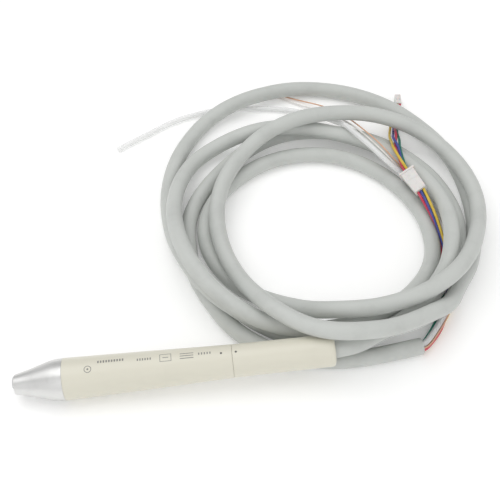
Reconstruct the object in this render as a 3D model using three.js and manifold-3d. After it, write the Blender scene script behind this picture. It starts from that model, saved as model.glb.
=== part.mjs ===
// Detachable ultrasonic scaler handpiece with its connector shell, five loose turns of hose,
// lead wires, water tube, in-line connector and end connector. Millimetres, +Z up.
// The handpiece lies along X with its nose toward -X; its rear end rests a little higher than the nose.
import * as THREE from 'three';
import { mergeVertices } from 'three/addons/utils/BufferGeometryUtils.js';
import Module from 'manifold-3d';

const wasm = await Module();
wasm.setup();

// ---- driving dimensions -------------------------------------------------------------------
const TILT_DEG = 3.304;            // rise of the handpiece axis toward the hose
const TIP = [-66.788, 0, 7.662];   // centre of the nose face
const GAP = 0.3;                   // clearance kept between touching pieces
const NOSE_END = 21.0;             // nose cap / body joint, along the axis from the nose
const SEAM = 91.2;                 // body / connector shell joint
const TOTAL = 133.8;               // whole length of handpiece and connector shell
const R_NOSE = 4.15;               // nose face radius
const R_BODY = 8.8;                // largest radius, at the nose cap joint
const R_SEAM = 6.95;               // radius at the seam
const R_REAR = 6.85;               // connector shell radius
const R_HOSE = 3.75;               // hose outer radius
const R_WIRE = 0.52;               // insulated lead radius
const R_THIN = 0.32;               // thin lamp lead radius
const R_TUBE = 1.3;                // water tube radius
const SEGS = 18;                   // sides of turned parts
const STUD_R = 1.5;                // tip stud, M3 x 0.6
const PIN_RING = 2.75;             // contact pins' pitch radius

// ---- helpers ------------------------------------------------------------------------------
const group = new THREE.Group();
const tool = new THREE.Group();    // local X runs along the handpiece axis from the nose
tool.position.set(...TIP);
tool.rotation.y = -THREE.MathUtils.degToRad(TILT_DEG);
group.add(tool);

const finish = (color, roughness, metalness = 0) => new THREE.MeshStandardMaterial({ color, roughness, metalness });
const CREAM = () => finish(0xdedbc9, 0.42);
const SATIN = () => finish(0xb9bcc0, 0.35, 0.9);
const STEEL = () => finish(0x9a9da1, 0.3, 1.0);
const TITAN = () => finish(0x8f9096, 0.38, 1.0);
const BRASS = () => finish(0xc8a24a, 0.35, 1.0);
const SILICONE = () => finish(0xb7bcb6, 0.62);
const RUBBER = () => finish(0x2a2a2c, 0.8);
const CERAMIC = () => finish(0x6e6a5e, 0.7);
const WHITE = () => finish(0xdcd6d2, 0.5);

function add(parent, name, geometry, material) {
  const mesh = new THREE.Mesh(geometry, material);
  mesh.name = name;
  parent.add(mesh);
  return mesh;
}
// turned part: pairs [position along the axis, radius], closed on the axis or on itself
function turned(pairs, segs = SEGS) {
  const pts = pairs.map(([s, r]) => new THREE.Vector2(r, s));
  const g = new THREE.LatheGeometry(pts, segs);
  g.rotateZ(-Math.PI / 2);         // lathe axis Y becomes X
  return outward(g);
}
// makes the faces point out, whichever way round the profile ran
function outward(g) {
  let h = g.clone();
  h.deleteAttribute('normal');
  h.deleteAttribute('uv');
  h = mergeVertices(h, 1e-4);
  const p = h.attributes.position, ix = Array.from(h.index.array), keep = [];
  for (let i = 0; i < ix.length; i += 3) {
    if (ix[i] !== ix[i + 1] && ix[i + 1] !== ix[i + 2] && ix[i] !== ix[i + 2]) keep.push(ix[i], ix[i + 1], ix[i + 2]);
  }
  let v = 0;
  const a = new THREE.Vector3(), b = new THREE.Vector3(), c = new THREE.Vector3();
  for (let i = 0; i < keep.length; i += 3) {
    a.fromBufferAttribute(p, keep[i]); b.fromBufferAttribute(p, keep[i + 1]); c.fromBufferAttribute(p, keep[i + 2]);
    v += a.dot(b.cross(c));
  }
  if (v < 0) for (let i = 0; i < keep.length; i += 3) [keep[i + 1], keep[i + 2]] = [keep[i + 2], keep[i + 1]];
  h.setIndex(keep);
  return h;
}
const solid = (g) => {
  const h = outward(g);
  return new wasm.Manifold(new wasm.Mesh({ numProp: 3, vertProperties: new Float32Array(h.attributes.position.array), triVerts: new Uint32Array(h.index.array) }));
};
function fromSolid(m) {
  const o = m.getMesh();
  const g = new THREE.BufferGeometry();
  const n = o.numProp, count = o.vertProperties.length / n, pos = new Float32Array(count * 3);
  for (let i = 0; i < count; i++) for (let k = 0; k < 3; k++) pos[3 * i + k] = o.vertProperties[n * i + k];
  g.setAttribute('position', new THREE.BufferAttribute(pos, 3));
  g.setIndex(Array.from(o.triVerts));
  return g;
}
function rod(s0, s1, r, y = 0, z = 0, segs = 12) {
  const g = new THREE.CylinderGeometry(r, r, s1 - s0, segs);
  g.rotateZ(Math.PI / 2);
  g.translate((s0 + s1) / 2, y, z);
  return g;
}
function tubeRod(s0, s1, r, ri, y = 0, z = 0, segs = 12) {
  const g = turned([[s0, ri], [s0, r], [s1, r], [s1, ri], [s0, ri]], segs);
  g.translate(0, y, z);
  return g;
}
function ring(s, centre, r, segs = 16) {       // O-ring: round section on a circle
  const pts = [];
  for (let i = 0; i <= 6; i++) { const t = (i % 6) / 6 * 2 * Math.PI; pts.push([s + r * Math.sin(t), centre + r * Math.cos(t)]); }
  return turned(pts, segs);
}
// round section swept along a smooth line through the points
function smoothLine(points) {
  const curve = new THREE.CatmullRomCurve3(points.map((p) => new THREE.Vector3(...p)), false, 'centripetal');
  curve.arcLengthDivisions = points.length * 12;
  return curve;
}
// the stretch of a line between two lengths along it
class Stretch extends THREE.Curve {
  constructor(line, from, to) { super(); this.line = line; this.from = from; this.to = to; this.whole = line.getLength(); }
  getPoint(t, target) { return this.line.getPointAt(Math.min(1, Math.max(0, (this.from + (this.to - this.from) * t) / this.whole)), target); }
}
function swept(curve, radius, sides, steps) {
  const shape = new THREE.Shape();
  for (let i = 0; i < sides; i++) {
    const t = (i + 0.5) / sides * 2 * Math.PI, x = radius * Math.cos(t), y = radius * Math.sin(t);
    if (i === 0) shape.moveTo(x, y); else shape.lineTo(x, y);
  }
  shape.closePath();
  return outward(new THREE.ExtrudeGeometry(shape, { steps, bevelEnabled: false, extrudePath: curve, curveSegments: 1 }));
}
const onRing = (i, r, phase = 45) => { const t = THREE.MathUtils.degToRad(phase + 90 * i); return [r * Math.cos(t), r * Math.sin(t)]; };

// ---- nose cap, light guide and lamp -------------------------------------------------------
add(tool, 'nozzle_cap', turned([
  [0.35, 3.6], [0.0, 3.8], [0.15, 4.0], [0.5, R_NOSE], [4, 4.98], [7.65, 5.92], [10.5, 6.8], [12.8, 7.5], [16, 8.38], [18.0, 8.68], [19.5, 8.78], [NOSE_END, R_BODY],
  [NOSE_END, 7.2], [16, 7.2], [9.0, 5.6], [5.5, 3.6], [0.35, 3.6]], 32), SATIN());
add(tool, 'light_guide_ring', turned([
  [0.5, 2.65], [0.5, 3.3], [5.8, 3.3], [9.3, 5.2], [10.4, 5.2], [10.4, 2.65], [0.5, 2.65]]), finish(0xe8eef0, 0.12));
add(tool, 'lamp_board', turned([[12.2, 2.65], [12.2, 6.1], [13.1, 6.1], [13.1, 2.65], [12.2, 2.65]]), finish(0x2f6b46, 0.5));
for (let i = 0; i < 4; i++) {
  const t = i * Math.PI / 2 + Math.PI / 4;
  const g = new THREE.BoxGeometry(0.8, 1.5, 1.3);
  g.translate(11.5, 0, 4.1);
  g.rotateX(t);
  add(tool, `lamp_led_${i + 1}`, g, finish(0xf2ead0, 0.3));
}

// ---- handpiece body -----------------------------------------------------------------------
add(tool, 'handpiece_housing', turned([
  [16.8, 6.0], [16.8, 6.9], [21.1, 6.9], [21.3, 8.35], [21.45, R_BODY], [45, 8.24], [70, 7.56], [SEAM - 0.5, R_SEAM], [SEAM - 0.15, R_SEAM - 0.15],
  [SEAM - 0.15, 5.75], [84, 5.75], [60, 6.4], [27, 7.3], [25, 6.0], [16.8, 6.0]], 28), CREAM());
add(tool, 'transducer_sleeve', turned([[28, 6.1], [28, 6.95], [58, 6.1], [58, 5.4], [28, 6.1]]), finish(0xd9d7cf, 0.5));
add(tool, 'horn', turned([
  [1.5, 0.45], [1.5, 1.3], [1.7, STUD_R], [5.0, STUD_R], [5.0, 2.3], [15, 2.3], [19, 3.2], [22, 4.3], [27, 4.3], [28.4, 5.5], [31, 5.5], [31.6, 4.8], [36.0, 4.8],
  [36.0, 2.15], [30.0, 2.15], [30.0, 0.45], [1.5, 0.45]]), TITAN());
add(tool, 'front_o_ring', ring(23.6, 5.15, 0.5), RUBBER());
for (let i = 0; i < 4; i++) {
  const s = 36.3 + 3.2 * i;
  add(tool, `piezo_ring_${i + 1}`, tubeRod(s, s + 2.2, 4.5, 2.15, 0, 0, 14), CERAMIC());
  add(tool, `electrode_${i + 1}`, tubeRod(s + 2.5, s + 2.9, 4.8, 2.15, 0, 0, 14), BRASS());
}
add(tool, 'back_mass', turned([[49.1, 2.15], [49.1, 4.3], [58, 4.3], [58.6, 3.9], [60.0, 3.9], [60.0, 2.15], [49.1, 2.15]], 14), STEEL());
add(tool, 'preload_bolt', turned([[30.4, 0.6], [30.4, 1.8], [60.3, 1.8], [60.3, 3.3], [63.3, 3.3], [63.3, 0.6], [30.4, 0.6]], 14), STEEL());
{
  // contact block with a shoulder; the pins and the water nipple stand in front of its rear face
  add(tool, 'contact_block', turned([[68, 1.0], [68, 5.6], [72, 5.6], [72.6, 5.2], [74, 5.2], [74, 1.0], [68, 1.0]]), finish(0x35373a, 0.55));
}
for (let i = 0; i < 4; i++) {
  const [y, z] = onRing(i, PIN_RING);
  add(tool, `contact_pin_${i + 1}`, rod(74.3, 82, 0.32, y, z, 8), BRASS());
}
add(tool, 'water_nipple', tubeRod(74.3, 83, 0.95, 0.4, 0, 0, 12), STEEL());
add(tool, 'water_seal_ring', ring(75.4, 1.7, 0.38, 16), RUBBER());
add(tool, 'lead_live', rod(49.2, 67.6, 0.3, 0, 4.9, 6), finish(0xa8323a, 0.5));
add(tool, 'lead_return', rod(49.2, 67.6, 0.3, 0, -4.9, 6), finish(0x2b2b2e, 0.5));

// ---- connector shell, fixed to the hose ---------------------------------------------------
add(tool, 'rear_shell', turned([
  [SEAM + 0.15, 5.6], [SEAM + 0.15, R_SEAM - 0.17], [SEAM + 0.5, R_SEAM - 0.02], [112, R_REAR], [132.0, R_REAR], [132.7, 6.76], [133.25, 6.45], [133.6, 5.95], [TOTAL, 5.2],
  [TOTAL, 4.5], [130.2, 4.3], [129.0, 5.6], [SEAM + 0.15, 5.6]], 28), CREAM());
{
  let insert = solid(turned([[76.6, 1.3], [76.6, 5.1], [77.0, 5.3], [83.0, 5.3], [83.0, 4.25], [85.4, 4.25], [85.4, 5.3], [91.9, 5.3], [94.6, 5.3], [94.6, 1.3], [76.6, 1.3]]));
  for (let i = 0; i < 4; i++) {
    const [y, z] = onRing(i, PIN_RING);
    insert = insert.subtract(solid(rod(76.0, 88.5, 1.05, y, z, 10)));
  }
  add(tool, 'socket_insert', fromSolid(insert), finish(0x2e3033, 0.5));
}
for (let i = 0; i < 4; i++) {
  const [y, z] = onRing(i, PIN_RING);
  add(tool, `contact_socket_${i + 1}`, tubeRod(77.2, 87.8, 0.78, 0.6, y, z, 8), BRASS());
}
add(tool, 'latch_o_ring', ring(84.2, 5.0, 0.42), finish(0x9a3b2c, 0.7));
add(tool, 'inner_water_line', rod(95.0, 117.6, 0.9, 0, -0.9, 8), finish(0xe6eaea, 0.4));
add(tool, 'inner_lead_bundle', rod(95.0, 117.6, 1.1, 0, 1.8, 8), finish(0x6d6f72, 0.6));
add(tool, 'hose_clamp_nut', turned([[118.0, 1.6], [118.0, 5.2], [128.6, 5.2], [129.1, 4.6], [129.1, 1.6], [118.0, 1.6]], 16), STEEL());

// ---- hose: one continuous run, cut into stretches that meet face to face ------------------
const HOSE_PATH = [
  [63.4, 0, 15.18], [75.48, 1.67, 15.44], [86.02, 7.68, 12.76], [96.94, 13.47, 11.56], [107.07, 20.54, 12.55], [115.5, 29.49, 14.34],
  [122.77, 39.48, 15.38], [127.19, 51.04, 16.22], [129.58, 63.14, 14.79], [129.94, 75.39, 12.81], [127.63, 87.51, 11.41], [122.93, 98.96, 10.44],
  [116.3, 109.4, 9.28], [107.85, 118.47, 8.65], [97.57, 125.42, 8.97], [86.18, 130.36, 9.46], [74.23, 133.56, 10.51], [61.91, 134.73, 11.62],
  [49.51, 134.15, 11.75], [37.44, 132.74, 9.22], [25.98, 129.71, 5.64], [16.18, 122.29, 5.21], [10.01, 111.83, 7.7], [5.99, 100.35, 10.25],
  [3.79, 88.32, 12.39], [3.64, 76.28, 15.46], [4.96, 64.3, 18.48], [8.13, 52.36, 19.69], [13.34, 41.09, 19.91], [20.36, 30.86, 19.48],
  [29.42, 22.74, 17.24], [40.09, 17.77, 13.35], [51.98, 14.48, 11.97], [64.29, 12.92, 11.94], [76.58, 14.56, 11.45], [88.29, 18.66, 10.92],
  [99.27, 24.45, 10.62], [108.7, 32.48, 9.93], [115.83, 42.41, 7.75], [120.49, 53.67, 5.45], [122.17, 65.88, 4.06], [120.94, 78.22, 3.89],
  [116.77, 89.91, 3.89], [110.41, 100.58, 3.89], [102.06, 109.76, 3.89], [91.9, 116.89, 3.89], [80.27, 121.2, 3.89], [67.91, 122.27, 3.89],
  [55.65, 120.36, 3.89], [44.25, 115.49, 3.89], [34.2, 108.19, 3.89], [25.69, 99.15, 3.89], [19.76, 88.26, 3.89], [17.29, 76.12, 3.89],
  [18.85, 63.84, 3.9], [24.02, 52.56, 3.87], [31.79, 42.9, 4.05], [41.38, 35.18, 5.63], [51.14, 28.29, 9.07], [60.58, 21.95, 14.05],
  [71.03, 17.51, 18.99], [83.22, 16.24, 20.58], [95.49, 18.19, 20.45], [107.42, 21.59, 20.98], [118.45, 27.25, 21.6], [127.71, 35.43, 20.7],
  [134.68, 45.36, 18.08], [139.98, 56.19, 15.05], [143.9, 67.76, 12.81], [145.77, 80, 12.09], [144.7, 92.37, 12.06], [141.45, 104.35, 11.61],
  [136.16, 115.57, 11.17], [127.95, 124.72, 12.34], [117.29, 130.58, 14.85], [105.69, 134.77, 16.3], [93.46, 136.74, 17.02], [81.1, 136.12, 18],
  [69.03, 133.34, 19], [57.28, 129.51, 17.94], [46.42, 124.5, 14.7], [37.51, 116.12, 12.7], [30.53, 105.87, 12.05], [25.66, 94.47, 11.5],
  [23.34, 82.33, 10.35], [23.49, 69.91, 10.25], [25.46, 57.7, 11.39], [28.77, 45.94, 13.65], [33.11, 34.81, 17.06], [38.58, 24.43, 21.18],
  [45.8, 14.79, 24.09], [55.72, 7.37, 24.51], [66.97, 2.39, 26.11], [79.26, 1.3, 26.34], [90.93, 4.02, 23.18], [101.91, 8.82, 19.9],
  [112.32, 14.77, 16.63], [121.05, 22.03, 11.63], [127.38, 32.1, 8.18], [134.25, 42.34, 6.64], [139.38, 53.44, 4.53], [143, 65.31, 3.88],
  [145.1, 77.55, 3.89], [145.36, 89.97, 3.89], [144.24, 102.35, 3.89], [141.58, 114.49, 3.88], [136.82, 125.95, 4.19], [129.45, 135.83, 5.59],
  [121, 144.86, 6.81], [112.49, 153.85, 5.67], [102.81, 161.5, 4.37], [91.54, 166.66, 3.9], [79.37, 169.11, 4.13], [67, 168.79, 5.04],
  [54.92, 166.04, 5.89], [43.5, 161.27, 7.02], [32.22, 156.21, 5.82], [22.23, 149.05, 4.24], [14.45, 139.39, 3.89], [8.27, 128.61, 3.89],
  [3.95, 116.96, 3.89], [1.36, 104.81, 3.89], [0.67, 92.41, 4.17], [1.48, 80.18, 6.18], [3.35, 68.31, 9.36], [7.04, 56.63, 11.31],
  [12.26, 45.36, 11.88], [19.28, 35.13, 11.94], [28.5, 26.99, 10.41], [38.55, 21.09, 6.12], [49.65, 16, 4.01], [61.54, 12.41, 3.88],
  [73.92, 11.56, 3.89], [86.13, 13.73, 3.89], [97.63, 18.42, 3.89], [108.03, 25.22, 3.9], [117.53, 33.22, 4.01], [125.12, 42.9, 5.64],
  [131.2, 53.66, 6.94], [134.86, 65.5, 7.01], [135.37, 77.86, 5.98], [133.57, 90.08, 4.62], [129.5, 101.78, 3.94], [122.82, 112.24, 3.89],
  [114.44, 121.41, 3.89], [104.42, 128.75, 3.89], [93.27, 134.22, 3.89], [81.26, 137.37, 3.89], [68.87, 138.05, 3.89], [56.68, 135.73, 3.89],
  [45.55, 130.26, 3.89], [35.63, 122.78, 3.89], [26.92, 113.91, 3.89], [19.23, 104.15, 3.89], [13.13, 93.33, 3.89], [9.7, 81.42, 3.89],
  [9.22, 69, 3.89], [10.28, 56.62, 3.89], [13.82, 44.72, 3.89], [19.15, 33.5, 3.89], [25.61, 22.88, 3.89], [34.44, 14.17, 3.89],
  [44.89, 7.46, 3.89], [56.65, 3.51, 3.89], [68.95, 1.82, 3.89], [81.38, 2.05, 3.89], [93.71, 3.61, 3.89], [105.99, 5.6, 3.89],
];
const HOSE_STRETCHES = 6;
const HOSE_STEP = 10.4;
{
  const curve = smoothLine(HOSE_PATH);
  const length = curve.getLength();
  const per = length / HOSE_STRETCHES;
  for (let i = 0; i < HOSE_STRETCHES; i++) {
    const a = i * per + (i ? GAP / 2 : 0), b = (i + 1) * per - (i < HOSE_STRETCHES - 1 ? GAP / 2 : 0);
    const steps = Math.round((b - a) / HOSE_STEP);
    add(group, `hose_stretch_${i + 1}`, swept(new Stretch(curve, a, b), R_HOSE, 8, steps), SILICONE());
  }
}

// ---- leads, lamp leads and water tube -----------------------------------------------------
const LEADS = {
  red_a: [
    [106.73, 3.76, 3.49], [109.47, 5.57, 3.34], [111.83, 8.04, 3.14], [114.06, 10.62, 2.93], [116.1, 13.35, 2.72], [117.92, 16.24, 2.48],
    [119.5, 19.26, 2.23], [120.82, 22.39, 1.86], [121.89, 25.59, 1.37], [122.77, 28.87, 0.96], [123.55, 32.19, 0.73], [124.37, 35.51, 0.69],
    [125.32, 38.8, 0.9], [124.89, 42.12, 0.94], [125.08, 45.51, 1.33], [125.23, 48.9, 1.73], [125.31, 52.29, 2.16], [125.55, 55.65, 2.7],
    [126.07, 58.93, 3.52], [126.49, 62.06, 4.8], [126.18, 65.16, 6.2], [125.2, 68.2, 7.41], [124.07, 71.19, 8.61], [122.88, 74.15, 9.85],
    [121.65, 77.08, 11.1], [120.38, 79.99, 12.36], [119.18, 82.99, 13.42],
  ],
  blue_a: [
    [106.34, 6.31, 2.36], [108.98, 8.25, 2.19], [111.16, 10.94, 2.14], [113.25, 13.7, 2.06], [115.2, 16.55, 1.94], [117, 19.5, 1.81],
    [118.61, 22.56, 1.7], [120.08, 25.68, 1.68], [121.51, 28.83, 1.82], [122.89, 32, 2], [124.3, 35.15, 2.07], [125.89, 38.22, 1.97],
    [126.52, 41.49, 1.44], [126.7, 44.94, 1.42], [126.67, 48.37, 1.83], [126.63, 51.79, 2.38], [126.66, 55.11, 3.32], [126.57, 58.31, 4.63],
    [126.19, 61.47, 5.99], [125.59, 64.59, 7.34], [124.86, 67.68, 8.71], [124.06, 70.78, 10.03], [123.18, 73.89, 11.26], [122.26, 77.03, 12.38],
    [121.31, 80.18, 13.43], [120.28, 83.38, 14.11],
  ],
  green_a: [
    [106.15, 7.52, 3.15], [108.67, 9.56, 3.11], [110.79, 12.25, 3.02], [112.81, 15.03, 2.87], [114.66, 17.91, 2.67], [116.32, 20.9, 2.41],
    [117.78, 23.98, 2.11], [119.17, 27.1, 1.74], [120.58, 30.2, 1.35], [121.92, 33.34, 0.97], [123.24, 36.49, 0.69], [123.83, 39.79, 0.67],
    [123.56, 43.18, 0.69], [123.91, 46.6, 0.69], [124.39, 49.99, 0.74], [124.96, 53.37, 0.94], [125.52, 56.73, 1.28], [126.01, 60.09, 1.81],
    [126.4, 63.4, 2.6], [126.7, 66.64, 3.67], [126.51, 69.78, 5.02], [125.69, 72.78, 6.47], [124.71, 75.66, 8.05], [123.69, 78.45, 9.76],
    [122.64, 81.2, 11.53], [121.47, 83.88, 13.31],
  ],
  yellow_a: [
    [106.56, 4.82, 2.24], [109.4, 6.52, 1.97], [111.6, 9.15, 1.79], [113.77, 11.81, 1.62], [115.89, 14.5, 1.39], [117.96, 17.23, 1.09],
    [119.99, 19.99, 0.77], [121.88, 22.85, 0.69], [123.3, 25.98, 0.71], [124.43, 29.22, 0.78], [125.51, 32.49, 0.85], [126.74, 35.69, 0.81],
    [127.38, 39.04, 1.06], [128.01, 42.42, 1.27], [128.1, 45.83, 1.65], [128.06, 49.24, 2.02], [127.94, 52.55, 2.95], [127.62, 55.57, 4.54],
    [127.15, 58.61, 6.07], [126.64, 61.7, 7.49], [126.11, 64.8, 8.89], [125.51, 67.91, 10.2], [124.83, 71.06, 11.41], [124.06, 74.23, 12.5],
    [123.22, 77.41, 13.51], [122.35, 80.59, 14.45], [121.57, 83.84, 14.99],
  ],
  red_b: [
    [114.85, 96.54, 14.65], [113.73, 100.11, 15.68], [113.22, 103.93, 16.16], [112.97, 107.76, 15.61], [113.13, 111.49, 14.54], [113.68, 115.13, 13.29],
    [114.37, 118.7, 11.93], [115.39, 122.38, 11.2], [116.12, 126.15, 10.6], [116.63, 129.77, 9.29], [117.36, 133.18, 7.58], [118.31, 136.53, 5.85],
    [119.26, 139.78, 3.93], [120.44, 143.12, 2.38], [122.05, 146.64, 2.24], [123.36, 150.27, 2.71], [124.24, 154.03, 3.12],
  ],
  blue_b: [
    [115.43, 96.81, 13.48], [114.81, 100.63, 13.63], [114.45, 104.46, 14.21], [114.5, 108.33, 14.57], [114.48, 112.21, 14.76], [114.02, 116.06, 14.64],
    [113.78, 119.73, 13.42], [113.97, 123.16, 11.62], [114.8, 126.36, 9.57], [115.72, 129.6, 7.64], [116.6, 132.94, 5.85], [117.44, 136.32, 4.13],
    [118.22, 139.7, 2.37], [119.28, 143.18, 1.06], [120.93, 146.69, 0.78], [122.2, 150.36, 0.85], [122.8, 154.16, 1.32],
  ],
  green_b: [
    [116.55, 97.22, 14.1], [116.07, 100.94, 13.65], [115.68, 104.7, 13.62], [115.54, 108.48, 13.67], [115.59, 112.25, 13.47], [115.89, 115.98, 12.93],
    [116.6, 119.53, 11.88], [117.13, 122.99, 10.43], [117.4, 126.46, 8.96], [117.81, 129.89, 7.43], [118.6, 133.21, 5.8], [119.63, 136.45, 4.15],
    [120.78, 139.67, 2.53], [121.94, 143.04, 1.27], [123.03, 146.61, 0.73], [123.85, 150.29, 0.92], [124.24, 154.03, 1.32],
  ],
  yellow_b: [
    [116.11, 96.99, 15.35], [114.21, 99.93, 17.16], [112.85, 103.62, 17.74], [111.93, 107.48, 17.55], [111.59, 111.3, 16.51], [111.83, 114.88, 14.8],
    [112.35, 118.3, 12.81], [112.72, 121.76, 10.87], [113.02, 125.37, 9.23], [113.72, 129.06, 7.92], [114.72, 132.73, 6.72], [115.79, 136.32, 5.36],
    [116.98, 139.81, 3.85], [118.15, 143.38, 2.53], [119.7, 146.99, 2], [121.63, 150.41, 2.61], [122.8, 154.16, 3.12],
  ],
  orange: [
    [106.7, 3.93, 4.72], [109.93, 5.84, 4.44], [112.46, 8.79, 4.21], [114.91, 11.82, 3.97], [117.24, 14.93, 3.71], [119.43, 18.13, 3.34],
    [121.45, 21.43, 2.8], [123.29, 24.81, 2.2], [124.93, 28.3, 1.62], [126.37, 31.89, 1.13], [127.72, 35.51, 0.69], [128.38, 39.32, 0.45],
    [128.83, 43.19, 0.43], [129.31, 47.06, 0.43], [129.77, 50.93, 0.43], [130.16, 54.81, 0.43], [130.46, 58.7, 0.44], [130.66, 62.59, 0.47],
    [130.76, 66.49, 0.53], [130.73, 70.39, 0.65], [130.55, 74.27, 0.93], [130.13, 78.12, 1.35], [129.39, 81.91, 1.88], [128.3, 85.6, 2.52],
    [126.83, 89.13, 3.28], [124.98, 92.44, 4.18], [122.79, 95.48, 5.23], [120.32, 98.24, 6.44], [117.68, 100.78, 7.78], [115.17, 102.63, 9.97],
    [113.01, 104.46, 12.64], [110.55, 106.73, 14.63], [108.2, 109.5, 16.02], [106.16, 112.71, 16.83], [104.3, 116.14, 16.88], [102.66, 119.63, 16.36],
    [101.17, 123.13, 15.52], [99.77, 126.62, 14.5], [98.42, 130.1, 13.36], [97.07, 133.56, 12.18], [95.63, 136.98, 10.99], [94.06, 140.37, 9.85],
    [92.38, 143.7, 8.74], [90.48, 146.92, 7.63], [88.33, 149.98, 6.52], [85.98, 152.89, 5.42], [83.46, 155.66, 4.34], [80.73, 158.24, 3.28],
    [77.85, 160.66, 2.28], [74.83, 162.96, 1.4], [71.62, 165.09, 0.8], [68.19, 166.93, 0.6], [64.72, 168.7, 0.59], [61.27, 170.52, 0.59],
    [57.84, 172.37, 0.54],
  ],
  white: [
    [106.51, 5.15, 3.34], [109.52, 7.35, 3.09], [112.18, 10.2, 2.95], [114.61, 13.23, 2.75], [116.75, 16.48, 2.5], [118.56, 19.92, 2.28],
    [120.13, 23.48, 2.25], [121.82, 26.99, 2.23], [123.5, 30.49, 1.9], [124.91, 34.08, 1.37], [126.08, 37.6, 0.58], [125.94, 41.4, 0.48],
    [126.13, 45.29, 0.48], [126.84, 49.12, 0.48], [127.48, 52.96, 0.48], [128.02, 56.82, 0.48], [128.46, 60.69, 0.49], [128.81, 64.57, 0.52],
    [129.06, 68.46, 0.57], [129.17, 72.35, 0.67], [129.04, 76.24, 0.86], [128.62, 80.1, 1.15], [127.85, 83.89, 1.57], [126.71, 87.57, 2.14],
    [125.19, 91.08, 2.89], [123.31, 94.35, 3.84], [121.11, 97.34, 5.01], [118.66, 100.05, 6.37], [116.08, 102.53, 7.89], [113.55, 103.99, 10.41],
    [110.89, 105.31, 12.93], [108.28, 107.34, 14.97], [105.86, 110.07, 16.3], [103.68, 113.25, 16.83], [101.81, 116.66, 16.72], [100.17, 120.15, 16.15],
    [98.7, 123.64, 15.27], [97.29, 127.12, 14.21], [95.82, 130.54, 13.06], [94.24, 133.89, 11.86], [92.48, 137.14, 10.63], [90.54, 140.27, 9.37],
    [88.44, 143.29, 8.09], [86.27, 146.26, 6.8], [84.04, 149.18, 5.51], [81.7, 152.04, 4.26], [79.21, 154.79, 3.09], [76.55, 157.44, 2.05],
    [73.67, 159.93, 1.21], [70.56, 162.21, 0.72], [67.26, 164.28, 0.6], [63.89, 166.23, 0.59], [60.47, 168.1, 0.59], [57.01, 169.89, 0.59],
    [53.49, 171.56, 0.59],
  ],
  tube: [
    [106.89, 6.01, 5.07], [110.21, 8.87, 4.9], [113.12, 12.4, 4.67], [115.9, 16.03, 4.43], [118.57, 19.74, 4.19], [121.15, 23.52, 3.9],
    [123.57, 27.38, 3.48], [125.81, 31.35, 3.04], [127.83, 35.44, 2.66], [129.35, 39.73, 2.21], [130.32, 44.18, 1.81], [131.04, 48.7, 1.59],
    [131.6, 53.24, 1.52], [131.96, 57.81, 1.56], [132.05, 62.38, 1.72], [131.84, 66.95, 2.01], [131.31, 71.48, 2.43], [130.45, 75.94, 2.97],
    [129.24, 80.31, 3.59], [127.64, 84.55, 4.27], [125.59, 88.57, 5.02], [123.05, 92.26, 5.94], [120.09, 95.53, 7.15], [116.84, 98.37, 8.69],
    [113.48, 100.93, 10.46], [110.09, 102.97, 12.75], [106.82, 105.54, 14.65], [103.84, 108.75, 15.98], [101.16, 112.38, 16.66], [98.71, 116.25, 16.78],
    [96.43, 120.21, 16.48], [94.22, 124.19, 15.98], [92.17, 128.21, 15.23], [90.3, 132.14, 13.82], [88.39, 135.68, 11.64], [86.29, 139.22, 9.64],
    [83.87, 142.7, 7.92], [81.07, 145.99, 6.38], [77.93, 149.02, 5.01], [74.48, 151.77, 3.8], [70.73, 154.19, 2.79], [66.69, 156.22, 2.04],
    [62.39, 157.72, 1.66], [57.92, 158.69, 1.58], [53.38, 159.3, 1.6], [48.82, 159.75, 1.59], [44.26, 160.17, 1.59], [39.7, 160.57, 1.59],
    [35.12, 160.7, 1.59], [30.55, 160.49, 1.59], [26, 159.98, 1.59], [21.5, 159.14, 1.59], [17.06, 158.03, 1.59], [12.68, 156.7, 1.59],
    [8.39, 155.1, 1.59], [4.23, 153.19, 1.59], [0.23, 150.96, 1.59], [-3.66, 148.53, 1.59], [-7.53, 146.09, 1.59], [-11.45, 143.73, 1.59],
    [-15.38, 141.38, 1.59], [-19.28, 138.98, 1.58], [-23.16, 136.54, 1.49],
  ]
};
const lead = (name, key, r, color, rough = 0.45) => add(group, name, swept(smoothLine(LEADS[key]), r, 8, LEADS[key].length - 1), finish(color, rough));
lead('lead_red_hose_side', 'red_a', R_WIRE, 0xbe3c50);
lead('lead_blue_hose_side', 'blue_a', R_WIRE, 0x3c418d);
lead('lead_green_hose_side', 'green_a', R_WIRE, 0x147864);
lead('lead_yellow_hose_side', 'yellow_a', R_WIRE, 0xd7af2d);
lead('lead_red_plug_side', 'red_b', R_WIRE, 0xbe3c50);
lead('lead_blue_plug_side', 'blue_b', R_WIRE, 0x3c418d);
lead('lead_green_plug_side', 'green_b', R_WIRE, 0x147864);
lead('lead_yellow_plug_side', 'yellow_b', R_WIRE, 0xd7af2d);
lead('lamp_lead_orange', 'orange', R_THIN, 0xe18c64);
lead('lamp_lead_white', 'white', R_THIN, 0xe4e1dc);
lead('water_tube', 'tube', R_TUBE, 0xebebe9, 0.3);

// ---- in-line connector: a flanged half and a plug half ------------------------------------
const place = (g, origin, ax, ay, az) => {
  const m = new THREE.Matrix4().makeBasis(new THREE.Vector3(...ax), new THREE.Vector3(...ay), new THREE.Vector3(...az));
  m.setPosition(new THREE.Vector3(...origin));
  return g.applyMatrix4(m);
};
const block = (x0, x1, wy, wz, oy = 0, oz = 0) => { const g = new THREE.BoxGeometry(x1 - x0, wy, wz); g.translate((x0 + x1) / 2, oy, oz); return g; };
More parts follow.
